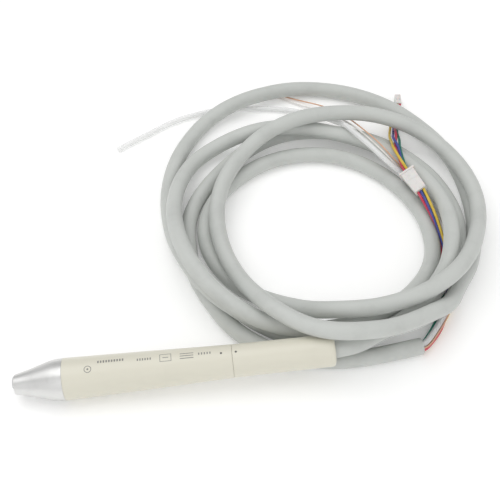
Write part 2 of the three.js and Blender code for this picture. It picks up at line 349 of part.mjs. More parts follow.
// block whose width and height run from (wy0, wz0) at x0 to (wy1, wz1) at x1
const wedge = (x0, x1, wy0, wz0, wy1, wz1) => {
  const g = new THREE.BoxGeometry(1, 1, 1), p = g.attributes.position;
  for (let i = 0; i < p.count; i++) {
    const far = p.getX(i) > 0;
    p.setXYZ(i, far ? x1 : x0, p.getY(i) * (far ? wy1 : wy0), p.getZ(i) * (far ? wz1 : wz0));
  }
  return g;
};
const IN_A = [115.716, 96.532, 14.613], IN_AX = [0.3607, -0.93164, -0.04413], IN_LAT = [0.8584, 0.3131, 0.40634], IN_UP = [-0.36474, -0.18445, 0.91266];
const IN_LEN = 13.60;
{
  const flanged = solid(block(0, 0.95, 8.2, 5.9)).add(solid(wedge(0.9, 5.6, 6.8, 5.0, 6.35, 4.8)))
    .subtract(solid(block(2.2, 6.0, 5.1, 3.5)));
  add(group, 'inline_socket_housing', place(fromSolid(flanged), IN_A, IN_AX, IN_LAT, IN_UP), WHITE());
  const plug = solid(wedge(5.9, IN_LEN, 6.3, 4.75, 5.8, 4.5)).add(solid(block(2.9, 6.0, 4.5, 2.9)));
  add(group, 'inline_plug_housing', place(fromSolid(plug), IN_A, IN_AX, IN_LAT, IN_UP), WHITE());
}

// ---- end connector ------------------------------------------------------------------------
const END_FACE = [123.544, 154.417, 4.47], END_DIR = [0.09115, 0.99584, 0], END_LAT = [0.99584, -0.09115, 0];
{
  const body = solid(block(0, 6.4, 3.0, 4.1, 0, -2.15)).subtract(solid(block(4.4, 7.0, 2.0, 2.9, 0, -2.15)));
  add(group, 'end_plug_housing', place(fromSolid(body), END_FACE, END_DIR, [-END_LAT[0], -END_LAT[1], 0], [0, 0, 1]), WHITE());
}

export default group;
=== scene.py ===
# Looks of a detachable ultrasonic scaler handpiece with its connector shell, grey silicone hose,
# lead wires, water tube and small white connectors. Metres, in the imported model's frame.
import math
import bmesh
import bpy
import numpy as np
from mathutils import Matrix, Vector


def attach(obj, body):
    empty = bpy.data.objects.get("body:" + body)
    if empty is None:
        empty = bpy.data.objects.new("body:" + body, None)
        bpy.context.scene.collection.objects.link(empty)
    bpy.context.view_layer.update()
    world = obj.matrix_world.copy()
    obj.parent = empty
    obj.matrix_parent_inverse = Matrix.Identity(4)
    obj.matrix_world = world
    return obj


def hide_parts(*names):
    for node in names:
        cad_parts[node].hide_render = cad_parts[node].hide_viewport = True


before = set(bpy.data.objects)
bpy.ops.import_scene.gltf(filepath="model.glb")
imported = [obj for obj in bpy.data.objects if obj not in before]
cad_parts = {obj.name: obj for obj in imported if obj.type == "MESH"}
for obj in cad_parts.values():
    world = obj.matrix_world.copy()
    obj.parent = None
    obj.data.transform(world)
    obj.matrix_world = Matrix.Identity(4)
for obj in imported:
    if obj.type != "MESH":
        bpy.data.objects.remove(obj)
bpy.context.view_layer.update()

MM = 0.001

# ---- routes of the hose, leads and tube: micrometres, the same points as in the CAD ---------
ROUTE = {
    "hose": [
        (63400, 0, 15180), (75480, 1670, 15440), (86020, 7680, 12760), (96940, 13470, 11560), (107070, 20540, 12550), (115500, 29490, 14340),
        (122770, 39480, 15380), (127190, 51040, 16220), (129580, 63140, 14790), (129940, 75390, 12810), (127630, 87510, 11410), (122930, 98960, 10440),
        (116300, 109400, 9280), (107850, 118470, 8650), (97570, 125420, 8970), (86180, 130360, 9460), (74230, 133560, 10510), (61910, 134730, 11620),
        (49510, 134150, 11750), (37440, 132740, 9220), (25980, 129710, 5640), (16180, 122290, 5210), (10010, 111830, 7700), (5990, 100350, 10250),
        (3790, 88320, 12390), (3640, 76280, 15460), (4960, 64300, 18480), (8130, 52360, 19690), (13340, 41090, 19910), (20360, 30860, 19480),
        (29420, 22740, 17240), (40090, 17770, 13350), (51980, 14480, 11970), (64290, 12920, 11940), (76580, 14560, 11450), (88290, 18660, 10920),
        (99270, 24450, 10620), (108700, 32480, 9930), (115830, 42410, 7750), (120490, 53670, 5450), (122170, 65880, 4060), (120940, 78220, 3890),
        (116770, 89910, 3890), (110410, 100580, 3890), (102060, 109760, 3890), (91900, 116890, 3890), (80270, 121200, 3890), (67910, 122270, 3890),
        (55650, 120360, 3890), (44250, 115490, 3890), (34200, 108190, 3890), (25690, 99150, 3890), (19760, 88260, 3890), (17290, 76120, 3890),
        (18850, 63840, 3900), (24020, 52560, 3870), (31790, 42900, 4050), (41380, 35180, 5630), (51140, 28290, 9070), (60580, 21950, 14050),
        (71030, 17510, 18990), (83220, 16240, 20580), (95490, 18190, 20450), (107420, 21590, 20980), (118450, 27250, 21600), (127710, 35430, 20700),
        (134680, 45360, 18080), (139980, 56190, 15050), (143900, 67760, 12810), (145770, 80000, 12090), (144700, 92370, 12060), (141450, 104350, 11610),
        (136160, 115570, 11170), (127950, 124720, 12340), (117290, 130580, 14850), (105690, 134770, 16300), (93460, 136740, 17020), (81100, 136120, 18000),
        (69030, 133340, 19000), (57280, 129510, 17940), (46420, 124500, 14700), (37510, 116120, 12700), (30530, 105870, 12050), (25660, 94470, 11500),
        (23340, 82330, 10350), (23490, 69910, 10250), (25460, 57700, 11390), (28770, 45940, 13650), (33110, 34810, 17060), (38580, 24430, 21180),
        (45800, 14790, 24090), (55720, 7370, 24510), (66970, 2390, 26110), (79260, 1300, 26340), (90930, 4020, 23180), (101910, 8820, 19900),
        (112320, 14770, 16630), (121050, 22030, 11630), (127380, 32100, 8180), (134250, 42340, 6640), (139380, 53440, 4530), (143000, 65310, 3880),
        (145100, 77550, 3890), (145360, 89970, 3890), (144240, 102350, 3890), (141580, 114490, 3880), (136820, 125950, 4190), (129450, 135830, 5590),
        (121000, 144860, 6810), (112490, 153850, 5670), (102810, 161500, 4370), (91540, 166660, 3900), (79370, 169110, 4130), (67000, 168790, 5040),
        (54920, 166040, 5890), (43500, 161270, 7020), (32220, 156210, 5820), (22230, 149050, 4240), (14450, 139390, 3890), (8270, 128610, 3890),
        (3950, 116960, 3890), (1360, 104810, 3890), (670, 92410, 4170), (1480, 80180, 6180), (3350, 68310, 9360), (7040, 56630, 11310),
        (12260, 45360, 11880), (19280, 35130, 11940), (28500, 26990, 10410), (38550, 21090, 6120), (49650, 16000, 4010), (61540, 12410, 3880),
        (73920, 11560, 3890), (86130, 13730, 3890), (97630, 18420, 3890), (108030, 25220, 3900), (117530, 33220, 4010), (125120, 42900, 5640),
        (131200, 53660, 6940), (134860, 65500, 7010), (135370, 77860, 5980), (133570, 90080, 4620), (129500, 101780, 3940), (122820, 112240, 3890),
        (114440, 121410, 3890), (104420, 128750, 3890), (93270, 134220, 3890), (81260, 137370, 3890), (68870, 138050, 3890), (56680, 135730, 3890),
        (45550, 130260, 3890), (35630, 122780, 3890), (26920, 113910, 3890), (19230, 104150, 3890), (13130, 93330, 3890), (9700, 81420, 3890),
        (9220, 69000, 3890), (10280, 56620, 3890), (13820, 44720, 3890), (19150, 33500, 3890), (25610, 22880, 3890), (34440, 14170, 3890),
        (44890, 7460, 3890), (56650, 3510, 3890), (68950, 1820, 3890), (81380, 2050, 3890), (93710, 3610, 3890), (105990, 5600, 3890),
    ],
    "red_a": [
        (106730, 3760, 3490), (109470, 5570, 3340), (111830, 8040, 3140), (114060, 10620, 2930), (116100, 13350, 2720), (117920, 16240, 2480),
        (119500, 19260, 2230), (120820, 22390, 1860), (121890, 25590, 1370), (122770, 28870, 960), (123550, 32190, 730), (124370, 35510, 690),
        (125320, 38800, 900), (124890, 42120, 940), (125080, 45510, 1330), (125230, 48900, 1730), (125310, 52290, 2160), (125550, 55650, 2700),
        (126070, 58930, 3520), (126490, 62060, 4800), (126180, 65160, 6200), (125200, 68200, 7410), (124070, 71190, 8610), (122880, 74150, 9850),
        (121650, 77080, 11100), (120380, 79990, 12360), (119180, 82990, 13420),
    ],
    "blue_a": [
        (106340, 6310, 2360), (108980, 8250, 2190), (111160, 10940, 2140), (113250, 13700, 2060), (115200, 16550, 1940), (117000, 19500, 1810),
        (118610, 22560, 1700), (120080, 25680, 1680), (121510, 28830, 1820), (122890, 32000, 2000), (124300, 35150, 2070), (125890, 38220, 1970),
        (126520, 41490, 1440), (126700, 44940, 1420), (126670, 48370, 1830), (126630, 51790, 2380), (126660, 55110, 3320), (126570, 58310, 4630),
        (126190, 61470, 5990), (125590, 64590, 7340), (124860, 67680, 8710), (124060, 70780, 10030), (123180, 73890, 11260), (122260, 77030, 12380),
        (121310, 80180, 13430), (120280, 83380, 14110),
    ],
    "green_a": [
        (106150, 7520, 3150), (108670, 9560, 3110), (110790, 12250, 3020), (112810, 15030, 2870), (114660, 17910, 2670), (116320, 20900, 2410),
        (117780, 23980, 2110), (119170, 27100, 1740), (120580, 30200, 1350), (121920, 33340, 970), (123240, 36490, 690), (123830, 39790, 670),
        (123560, 43180, 690), (123910, 46600, 690), (124390, 49990, 740), (124960, 53370, 940), (125520, 56730, 1280), (126010, 60090, 1810),
        (126400, 63400, 2600), (126700, 66640, 3670), (126510, 69780, 5020), (125690, 72780, 6470), (124710, 75660, 8050), (123690, 78450, 9760),
        (122640, 81200, 11530), (121470, 83880, 13310),
    ],
    "yellow_a": [
        (106560, 4820, 2240), (109400, 6520, 1970), (111600, 9150, 1790), (113770, 11810, 1620), (115890, 14500, 1390), (117960, 17230, 1090),
        (119990, 19990, 770), (121880, 22850, 690), (123300, 25980, 710), (124430, 29220, 780), (125510, 32490, 850), (126740, 35690, 810),
        (127380, 39040, 1060), (128010, 42420, 1270), (128100, 45830, 1650), (128060, 49240, 2020), (127940, 52550, 2950), (127620, 55570, 4540),
        (127150, 58610, 6070), (126640, 61700, 7490), (126110, 64800, 8890), (125510, 67910, 10200), (124830, 71060, 11410), (124060, 74230, 12500),
        (123220, 77410, 13510), (122350, 80590, 14450), (121570, 83840, 14990),
    ],
    "red_b": [
        (114850, 96540, 14650), (113730, 100110, 15680), (113220, 103930, 16160), (112970, 107760, 15610), (113130, 111490, 14540), (113680, 115130, 13290),
        (114370, 118700, 11930), (115390, 122380, 11200), (116120, 126150, 10600), (116630, 129770, 9290), (117360, 133180, 7580), (118310, 136530, 5850),
        (119260, 139780, 3930), (120440, 143120, 2380), (122050, 146640, 2240), (123360, 150270, 2710), (124240, 154030, 3120),
    ],
    "blue_b": [
        (115430, 96810, 13480), (114810, 100630, 13630), (114450, 104460, 14210), (114500, 108330, 14570), (114480, 112210, 14760), (114020, 116060, 14640),
        (113780, 119730, 13420), (113970, 123160, 11620), (114800, 126360, 9570), (115720, 129600, 7640), (116600, 132940, 5850), (117440, 136320, 4130),
        (118220, 139700, 2370), (119280, 143180, 1060), (120930, 146690, 780), (122200, 150360, 850), (122800, 154160, 1320),
    ],
    "green_b": [
        (116550, 97220, 14100), (116070, 100940, 13650), (115680, 104700, 13620), (115540, 108480, 13670), (115590, 112250, 13470), (115890, 115980, 12930),
        (116600, 119530, 11880), (117130, 122990, 10430), (117400, 126460, 8960), (117810, 129890, 7430), (118600, 133210, 5800), (119630, 136450, 4150),
        (120780, 139670, 2530), (121940, 143040, 1270), (123030, 146610, 730), (123850, 150290, 920), (124240, 154030, 1320),
    ],
    "yellow_b": [
        (116110, 96990, 15350), (114210, 99930, 17160), (112850, 103620, 17740), (111930, 107480, 17550), (111590, 111300, 16510), (111830, 114880, 14800),
        (112350, 118300, 12810), (112720, 121760, 10870), (113020, 125370, 9230), (113720, 129060, 7920), (114720, 132730, 6720), (115790, 136320, 5360),
        (116980, 139810, 3850), (118150, 143380, 2530), (119700, 146990, 2000), (121630, 150410, 2610), (122800, 154160, 3120),
    ],
    "orange": [
        (106700, 3930, 4720), (109930, 5840, 4440), (112460, 8790, 4210), (114910, 11820, 3970), (117240, 14930, 3710), (119430, 18130, 3340),
        (121450, 21430, 2800), (123290, 24810, 2200), (124930, 28300, 1620), (126370, 31890, 1130), (127720, 35510, 690), (128380, 39320, 450),
        (128830, 43190, 430), (129310, 47060, 430), (129770, 50930, 430), (130160, 54810, 430), (130460, 58700, 440), (130660, 62590, 470),
        (130760, 66490, 530), (130730, 70390, 650), (130550, 74270, 930), (130130, 78120, 1350), (129390, 81910, 1880), (128300, 85600, 2520),
        (126830, 89130, 3280), (124980, 92440, 4180), (122790, 95480, 5230), (120320, 98240, 6440), (117680, 100780, 7780), (115170, 102630, 9970),
        (113010, 104460, 12640), (110550, 106730, 14630), (108200, 109500, 16020), (106160, 112710, 16830), (104300, 116140, 16880), (102660, 119630, 16360),
        (101170, 123130, 15520), (99770, 126620, 14500), (98420, 130100, 13360), (97070, 133560, 12180), (95630, 136980, 10990), (94060, 140370, 9850),
        (92380, 143700, 8740), (90480, 146920, 7630), (88330, 149980, 6520), (85980, 152890, 5420), (83460, 155660, 4340), (80730, 158240, 3280),
        (77850, 160660, 2280), (74830, 162960, 1400), (71620, 165090, 800), (68190, 166930, 600), (64720, 168700, 590), (61270, 170520, 590),
        (57840, 172370, 540),
    ],
    "white": [
        (106510, 5150, 3340), (109520, 7350, 3090), (112180, 10200, 2950), (114610, 13230, 2750), (116750, 16480, 2500), (118560, 19920, 2280),
        (120130, 23480, 2250), (121820, 26990, 2230), (123500, 30490, 1900), (124910, 34080, 1370), (126080, 37600, 580), (125940, 41400, 480),
        (126130, 45290, 480), (126840, 49120, 480), (127480, 52960, 480), (128020, 56820, 480), (128460, 60690, 490), (128810, 64570, 520),
        (129060, 68460, 570), (129170, 72350, 670), (129040, 76240, 860), (128620, 80100, 1150), (127850, 83890, 1570), (126710, 87570, 2140),
        (125190, 91080, 2890), (123310, 94350, 3840), (121110, 97340, 5010), (118660, 100050, 6370), (116080, 102530, 7890), (113550, 103990, 10410),
        (110890, 105310, 12930), (108280, 107340, 14970), (105860, 110070, 16300), (103680, 113250, 16830), (101810, 116660, 16720), (100170, 120150, 16150),
        (98700, 123640, 15270), (97290, 127120, 14210), (95820, 130540, 13060), (94240, 133890, 11860), (92480, 137140, 10630), (90540, 140270, 9370),
        (88440, 143290, 8090), (86270, 146260, 6800), (84040, 149180, 5510), (81700, 152040, 4260), (79210, 154790, 3090), (76550, 157440, 2050),
        (73670, 159930, 1210), (70560, 162210, 720), (67260, 164280, 600), (63890, 166230, 590), (60470, 168100, 590), (57010, 169890, 590),
        (53490, 171560, 590),
    ],
    "tube": [
        (106890, 6010, 5070), (110210, 8870, 4900), (113120, 12400, 4670), (115900, 16030, 4430), (118570, 19740, 4190), (121150, 23520, 3900),
        (123570, 27380, 3480), (125810, 31350, 3040), (127830, 35440, 2660), (129350, 39730, 2210), (130320, 44180, 1810), (131040, 48700, 1590),
        (131600, 53240, 1520), (131960, 57810, 1560), (132050, 62380, 1720), (131840, 66950, 2010), (131310, 71480, 2430), (130450, 75940, 2970),
        (129240, 80310, 3590), (127640, 84550, 4270), (125590, 88570, 5020), (123050, 92260, 5940), (120090, 95530, 7150), (116840, 98370, 8690),
        (113480, 100930, 10460), (110090, 102970, 12750), (106820, 105540, 14650), (103840, 108750, 15980), (101160, 112380, 16660), (98710, 116250, 16780),
        (96430, 120210, 16480), (94220, 124190, 15980), (92170, 128210, 15230), (90300, 132140, 13820), (88390, 135680, 11640), (86290, 139220, 9640),
        (83870, 142700, 7920), (81070, 145990, 6380), (77930, 149020, 5010), (74480, 151770, 3800), (70730, 154190, 2790), (66690, 156220, 2040),
        (62390, 157720, 1660), (57920, 158690, 1580), (53380, 159300, 1600), (48820, 159750, 1590), (44260, 160170, 1590), (39700, 160570, 1590),
        (35120, 160700, 1590), (30550, 160490, 1590), (26000, 159980, 1590), (21500, 159140, 1590), (17060, 158030, 1590), (12680, 156700, 1590),
        (8390, 155100, 1590), (4230, 153190, 1590), (230, 150960, 1590), (-3660, 148530, 1590), (-7530, 146090, 1590), (-11450, 143730, 1590),
        (-15380, 141380, 1590), (-19280, 138980, 1580), (-23160, 136540, 1490),
    ],
}

# ---- handpiece axis -------------------------------------------------------------------------
TILT = math.radians(3.304)
TIP = np.array([-66.788, 0.000, 7.662])
AX = np.array([math.cos(TILT), 0.0, math.sin(TILT)])      # from the nose toward the hose
SIDE = np.array([0.0, 1.0, 0.0])
TOP = np.array([-math.sin(TILT), 0.0, math.cos(TILT)])


def on_axis(s, y=0.0, z=0.0):
    return TIP + s * AX + y * SIDE + z * TOP


# ---- camera ---------------------------------------------------------------------------------
cam_data = bpy.data.cameras.new("camera")
cam = bpy.data.objects.new("camera", cam_data)
bpy.context.scene.collection.objects.link(cam)
right, up, fwd = (Vector(v) for v in ((0.995838, -0.09115, 0), (0.071827, 0.78473, 0.615661), (0.056118, 0.613098, -0.788011)))
m = Matrix.Identity(4)
for i in range(3):
    m[i][0], m[i][1], m[i][2] = right[i], up[i], -fwd[i]
m.translation = Vector((11.285, -219.302, 368.859)) * MM
cam.matrix_world = m
cam_data.lens, cam_data.sensor_width = 72.0, 36.0
cam_data.clip_start, cam_data.clip_end = 0.01, 20
bpy.context.scene.camera = cam


# ---- materials ------------------------------------------------------------------------------
def mix(a, b, t):
    return tuple(a[i] * (1 - t) + b[i] * t for i in range(3))


def material(name, base, rough, metallic=0.0, vary=0.05, tint=None, scale=300.0, detail=4.0, rough_vary=0.06,
             bumps=((2600.0, 0.012),), lines=None, turned_grain=False, **sockets):
    """Procedural finish: cloudy colour, cloudy roughness, fine bumps and, on turned or drawn pieces, fine lines along the run map."""
    mat = bpy.data.materials.new(name)
    mat.use_nodes = True
    nt = mat.node_tree
    n, link = nt.nodes, nt.links
    bsdf = n["Principled BSDF"]
    coord = n.new("ShaderNodeTexCoord")
    cloud = n.new("ShaderNodeTexNoise")
    cloud.inputs["Scale"].default_value = scale
    cloud.inputs["Detail"].default_value = detail
    cloud.inputs["Roughness"].default_value = 0.6
    link.new(coord.outputs["Object"], cloud.inputs["Vector"])
    ramp = n.new("ShaderNodeValToRGB")
    dark = tint or tuple(c * (1 - vary * 1.6) for c in base)
    light = mix(base, (1, 1, 1), vary * 0.35)
    ramp.color_ramp.elements[0].position, ramp.color_ramp.elements[1].position = 0.30, 0.70
    ramp.color_ramp.elements[0].color = (*mix(base, dark, 1.0 if tint is None else vary * 4), 1)
    ramp.color_ramp.elements[1].color = (*light, 1)
    mid = ramp.color_ramp.elements.new(0.5)
    mid.color = (*base, 1)
    link.new(cloud.outputs["Fac"], ramp.inputs["Fac"])
    link.new(ramp.outputs["Color"], bsdf.inputs["Base Color"])
    rmap = n.new("ShaderNodeMapRange")
    rmap.inputs["From Min"].default_value, rmap.inputs["From Max"].default_value = 0.3, 0.7
    rmap.inputs["To Min"].default_value, rmap.inputs["To Max"].default_value = max(0.02, rough - rough_vary), min(1, rough + rough_vary)
    smudge = n.new("ShaderNodeTexNoise")
    smudge.inputs["Scale"].default_value = scale * 0.45
    smudge.inputs["Detail"].default_value = 6.0
    link.new(coord.outputs["Object"], smudge.inputs["Vector"])
    link.new(smudge.outputs["Fac"], rmap.inputs["Value"])
    link.new(rmap.outputs["Result"], bsdf.inputs["Roughness"])
    bsdf.inputs["Metallic"].default_value = metallic
    last = None
    for size, height in bumps:
        grain = n.new("ShaderNodeTexNoise")
        grain.inputs["Scale"].default_value = size
        grain.inputs["Detail"].default_value = 3.0
        link.new(coord.outputs["Object"], grain.inputs["Vector"])
        bump = n.new("ShaderNodeBump")
        bump.inputs["Strength"].default_value = 0.6
        bump.inputs["Distance"].default_value = height * MM
        link.new(grain.outputs["Fac"], bump.inputs["Height"])
        if last:
            link.new(last.outputs["Normal"], bump.inputs["Normal"])
        last = bump
    if lines:
        along, across, height = lines
        run = n.new("ShaderNodeUVMap")
        run.uv_map = "run"
        stretch = n.new("ShaderNodeMapping")
        stretch.inputs["Scale"].default_value = (along, across, 1.0)
        link.new(run.outputs["UV"], stretch.inputs["Vector"])
        streak = n.new("ShaderNodeTexNoise")
        streak.inputs["Scale"].default_value = 1.0
        streak.inputs["Detail"].default_value = 5.0
        streak.inputs["Roughness"].default_value = 0.65
        link.new(stretch.outputs["Vector"], streak.inputs["Vector"])
        bump = n.new("ShaderNodeBump")
        bump.inputs["Strength"].default_value = 0.7
        bump.inputs["Distance"].default_value = height * MM
        link.new(streak.outputs["Fac"], bump.inputs["Height"])
        if last:
            link.new(last.outputs["Normal"], bump.inputs["Normal"])
        last = bump
    link.new(last.outputs["Normal"], bsdf.inputs["Normal"])
    if turned_grain:       # grooves run round the piece: highlights stretch along the axis
        tangent = n.new("ShaderNodeTangent")
        tangent.direction_type, tangent.uv_map = "UV_MAP", "run"
        link.new(tangent.outputs["Tangent"], bsdf.inputs["Tangent"])
        bsdf.inputs["Anisotropic"].default_value = 0.7
        bsdf.inputs["Anisotropic Rotation"].default_value = 0.25
    for key, value in sockets.items():
        bsdf.inputs[key.replace("_", " ")].default_value = value
    return mat


HOSE_GREY = material("hose_skin", (0.545, 0.562, 0.538), 0.50, vary=0.05, scale=70.0, bumps=((1700.0, 0.020), (240.0, 0.035)), lines=(0.05, 1.6, 0.020), Sheen_Weight=0.10, Specular_IOR_Level=0.42)
HOSE_CUT = material("hose_cut_face", (0.60, 0.61, 0.585), 0.72, vary=0.10, scale=900.0, bumps=((3500.0, 0.05),))
CREAM = material("cream_shell_plastic", (0.690, 0.668, 0.566), 0.36, vary=0.022, scale=45.0, rough_vary=0.04, bumps=((5200.0, 0.0035), (700.0, 0.003)), Coat_Weight=0.15, Coat_Roughness=0.25)
SATIN = material("satin_aluminium", (0.74, 0.74, 0.73), 0.45, metallic=1.0, vary=0.05, scale=160.0, rough_vary=0.05, bumps=((4200.0, 0.0022),), lines=(0.04, 22.0, 0.0030), turned_grain=True)
RIM = material("polished_rim", (0.90, 0.90, 0.90), 0.10, metallic=1.0, vary=0.04, scale=300.0, rough_vary=0.03, bumps=((3000.0, 0.001),), lines=(0.05, 30.0, 0.0012))
STEEL = material("turned_steel", (0.62, 0.62, 0.63), 0.24, metallic=1.0, vary=0.08, scale=260.0, bumps=((5000.0, 0.002),), lines=(0.05, 26.0, 0.005))
TITANIUM = material("turned_titanium", (0.52, 0.51, 0.50), 0.30, metallic=1.0, vary=0.10, scale=240.0, bumps=((5000.0, 0.002),), lines=(0.05, 24.0, 0.006))
GOLD = material("gold_flashed_contact", (0.86, 0.64, 0.27), 0.22, metallic=1.0, vary=0.09, scale=500.0, bumps=((6000.0, 0.002),), lines=(0.2, 18.0, 0.003))
COPPER = material("tinned_strands", (0.70, 0.66, 0.60), 0.35, metallic=1.0, vary=0.12, scale=1500.0, bumps=((5000.0, 0.03),))
RUBBER = material("black_seal", (0.022, 0.022, 0.023), 0.55, vary=0.25, scale=600.0, bumps=((4000.0, 0.010),))
RED_SEAL = material("red_silicone_seal", (0.42, 0.07, 0.045), 0.50, vary=0.14, scale=600.0, bumps=((4000.0, 0.010),))
CERAMIC = material("fired_ceramic", (0.20, 0.185, 0.155), 0.62, vary=0.16, scale=900.0, bumps=((4200.0, 0.02), (900.0, 0.02)))
DARK = material("filled_dark_plastic", (0.030, 0.031, 0.034), 0.42, vary=0.30, scale=500.0, bumps=((4200.0, 0.010), (900.0, 0.006)))
INNER = material("inner_sleeve_plastic", (0.70, 0.69, 0.64), 0.45, vary=0.05, scale=200.0, bumps=((3600.0, 0.006),))
NYLON = material("white_nylon", (0.715, 0.692, 0.672), 0.44, vary=0.055, scale=420.0, rough_vary=0.08, bumps=((2600.0, 0.012), (520.0, 0.012)), Subsurface_Weight=0.12, Subsurface_Scale=0.0012)
GUIDE = material("clear_light_guide", (0.95, 0.97, 0.97), 0.09, vary=0.02, scale=300.0, rough_vary=0.03, bumps=((1800.0, 0.004),), Transmission_Weight=0.85, IOR=1.49)
TUBING = material("milky_tubing", (0.955, 0.96, 0.955), 0.26, vary=0.010, scale=60.0, rough_vary=0.03, bumps=((420.0, 0.003),), lines=(0.02, 1.2, 0.003), Alpha=0.46)
BOARD = material("board_mask", (0.035, 0.17, 0.075), 0.35, vary=0.20, scale=700.0, bumps=((2600.0, 0.012),))
LED = material("lamp_lens", (0.92, 0.86, 0.62), 0.18, vary=0.05, scale=900.0, bumps=((2600.0, 0.004),), Transmission_Weight=0.25, IOR=1.5)
PRINT = material("grey_print", (0.23, 0.23, 0.215), 0.48, vary=0.16, scale=2500.0, bumps=((6000.0, 0.004),))


def insulation(name, base, **more):
    return material(name, base, 0.33, vary=0.10, scale=420.0, rough_vary=0.08, bumps=((1500.0, 0.010),), lines=(0.10, 5.0, 0.012), Specular_IOR_Level=0.5, **more)


WIRE = {
    "red": insulation("insulation_red", (0.56, 0.040, 0.085)),
    "blue": insulation("insulation_blue", (0.050, 0.062, 0.30)),
    "green": insulation("insulation_green", (0.008, 0.175, 0.125)),
    "yellow": insulation("insulation_yellow", (0.66, 0.46, 0.045)),
    "orange": insulation("insulation_orange", (0.70, 0.42, 0.28)),
    "white": insulation("insulation_white", (0.80, 0.78, 0.755)),
    "black": insulation("insulation_black", (0.020, 0.020, 0.022)),
    "grey": insulation("bundle_wrap", (0.17, 0.17, 0.18)),
}


# ---- mesh helpers ---------------------------------------------------------------------------
def finish_object(name, me, mats, body, node=None, sharp=0.55):
    bm = bmesh.new()
    bm.from_mesh(me)
    bmesh.ops.remove_doubles(bm, verts=bm.verts, dist=1e-8)
    bmesh.ops.recalc_face_normals(bm, faces=bm.faces)
    for f in bm.faces:
        f.smooth = True
    for e in bm.edges:
        if len(e.link_faces) == 2 and e.calc_face_angle(0.0) > sharp:
            e.smooth = False
    bm.to_mesh(me)
    bm.free()
    ob = bpy.data.objects.new(name, me)
    bpy.context.scene.collection.objects.link(ob)
    for mt in (mats if isinstance(mats, (list, tuple)) else [mats]):
        me.materials.append(mt)
    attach(ob, body)
    if node:
        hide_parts(*([node] if isinstance(node, str) else node))
    return ob


def skin(name, rings, vs, girth, closed=False, cap0=True, cap1=True, zone=None):
    """Mesh over rings of points (n, segments, 3) in metres. vs is each ring's place along the run in mm, girth the mean girth in mm.
    closed joins the last ring to the first; otherwise caps close the ends. zone gives each band's material index."""
    rings = np.asarray(rings, float)
    n, k = rings.shape[:2]
    verts = rings.reshape(-1, 3).tolist()
    faces, uvs, index = [], [], []
    bands = n if closed else n - 1
    for i in range(bands):
        a, b = i, (i + 1) % n
        va, vb = vs[a], (vs[b] if b > a else vs[a] + 0.5)
        for j in range(k):
            j2 = (j + 1) % k
            faces.append((a * k + j, a * k + j2, b * k + j2, b * k + j))
            u0, u1 = j / k * girth, (j + 1) / k * girth
            uvs += [(u0, va), (u1, va), (u1, vb), (u0, vb)]
            index.append(zone[i] if zone else 0)
    if not closed:
        for ring, flag, v in ((0, cap0, vs[0]), (n - 1, cap1, vs[-1])):
            if not flag:
                continue
            centre = rings[ring].mean(0)
            c = len(verts)
            verts.append(centre.tolist())
            for j in range(k):
                faces.append((c, ring * k + j, ring * k + (j + 1) % k))
                t0, t1 = 2 * math.pi * j / k, 2 * math.pi * (j + 1) / k
                w = girth / (2 * math.pi)
                uvs += [(0, v), (w * math.cos(t0), v + w * math.sin(t0)), (w * math.cos(t1), v + w * math.sin(t1))]
                index.append(zone[0 if ring == 0 else -1] if zone else 0)
    me = bpy.data.meshes.new(name)
    me.from_pydata(verts, [], faces)
    layer = me.uv_layers.new(name="run")
    layer.data.foreach_set("uv", np.array(uvs, np.float32).ravel())
    me.polygons.foreach_set("material_index", index)
    me.update()
    return me


def soften(prof, radius, steps=4, closed=True):
    """Rounds the corners of a profile of (s, r) points, where they turn by more than 12 degrees."""
    pts = [np.array(p, float) for p in prof]
    out, n = [], len(pts)
    for i, p in enumerate(pts):
        if not closed and i in (0, n - 1):
            out.append(tuple(p))
            continue
        a, b = pts[i - 1] - p, pts[(i + 1) % n] - p
        la, lb = np.linalg.norm(a), np.linalg.norm(b)
        if la < 1e-9 or lb < 1e-9:
            out.append(tuple(p))
            continue
        a, b = a / la, b / lb
        ang = math.acos(max(-1, min(1, float(a @ b))))
        if ang > math.radians(168):
            out.append(tuple(p))
            continue
        cut = min(radius / math.tan(ang / 2), 0.42 * la, 0.42 * lb)
        p0, p1 = p + a * cut, p + b * cut
        for k in range(steps + 1):
            t = k / steps
            out.append(tuple((1 - t) ** 2 * p0 + 2 * t * (1 - t) * p + t * t * p1))
    return out


def spline_r(points, count):
    """Natural cubic r(s) through the points, sampled evenly in s."""
    s, r = (np.array(v, float) for v in zip(*points))
    n = len(s)
    h = np.diff(s)
    a = np.zeros((n, n))
    b = np.zeros(n)
    a[0, 0] = a[-1, -1] = 1
    for i in range(1, n - 1):
        a[i, i - 1], a[i, i], a[i, i + 1] = h[i - 1], 2 * (h[i - 1] + h[i]), h[i]
        b[i] = 6 * ((r[i + 1] - r[i]) / h[i] - (r[i] - r[i - 1]) / h[i - 1])
    mm_ = np.linalg.solve(a, b)
    out = []
    for x in np.linspace(s[0], s[-1], count):
        i = min(n - 2, int(np.searchsorted(s, x, side="right") - 1))
        d, e = x - s[i], s[i + 1] - x
        y = mm_[i] * e ** 3 / (6 * h[i]) + mm_[i + 1] * d ** 3 / (6 * h[i]) + (r[i] / h[i] - mm_[i] * h[i] / 6) * e + (r[i + 1] / h[i] - mm_[i + 1] * h[i] / 6) * d
        out.append((float(x), float(y)))
    return out


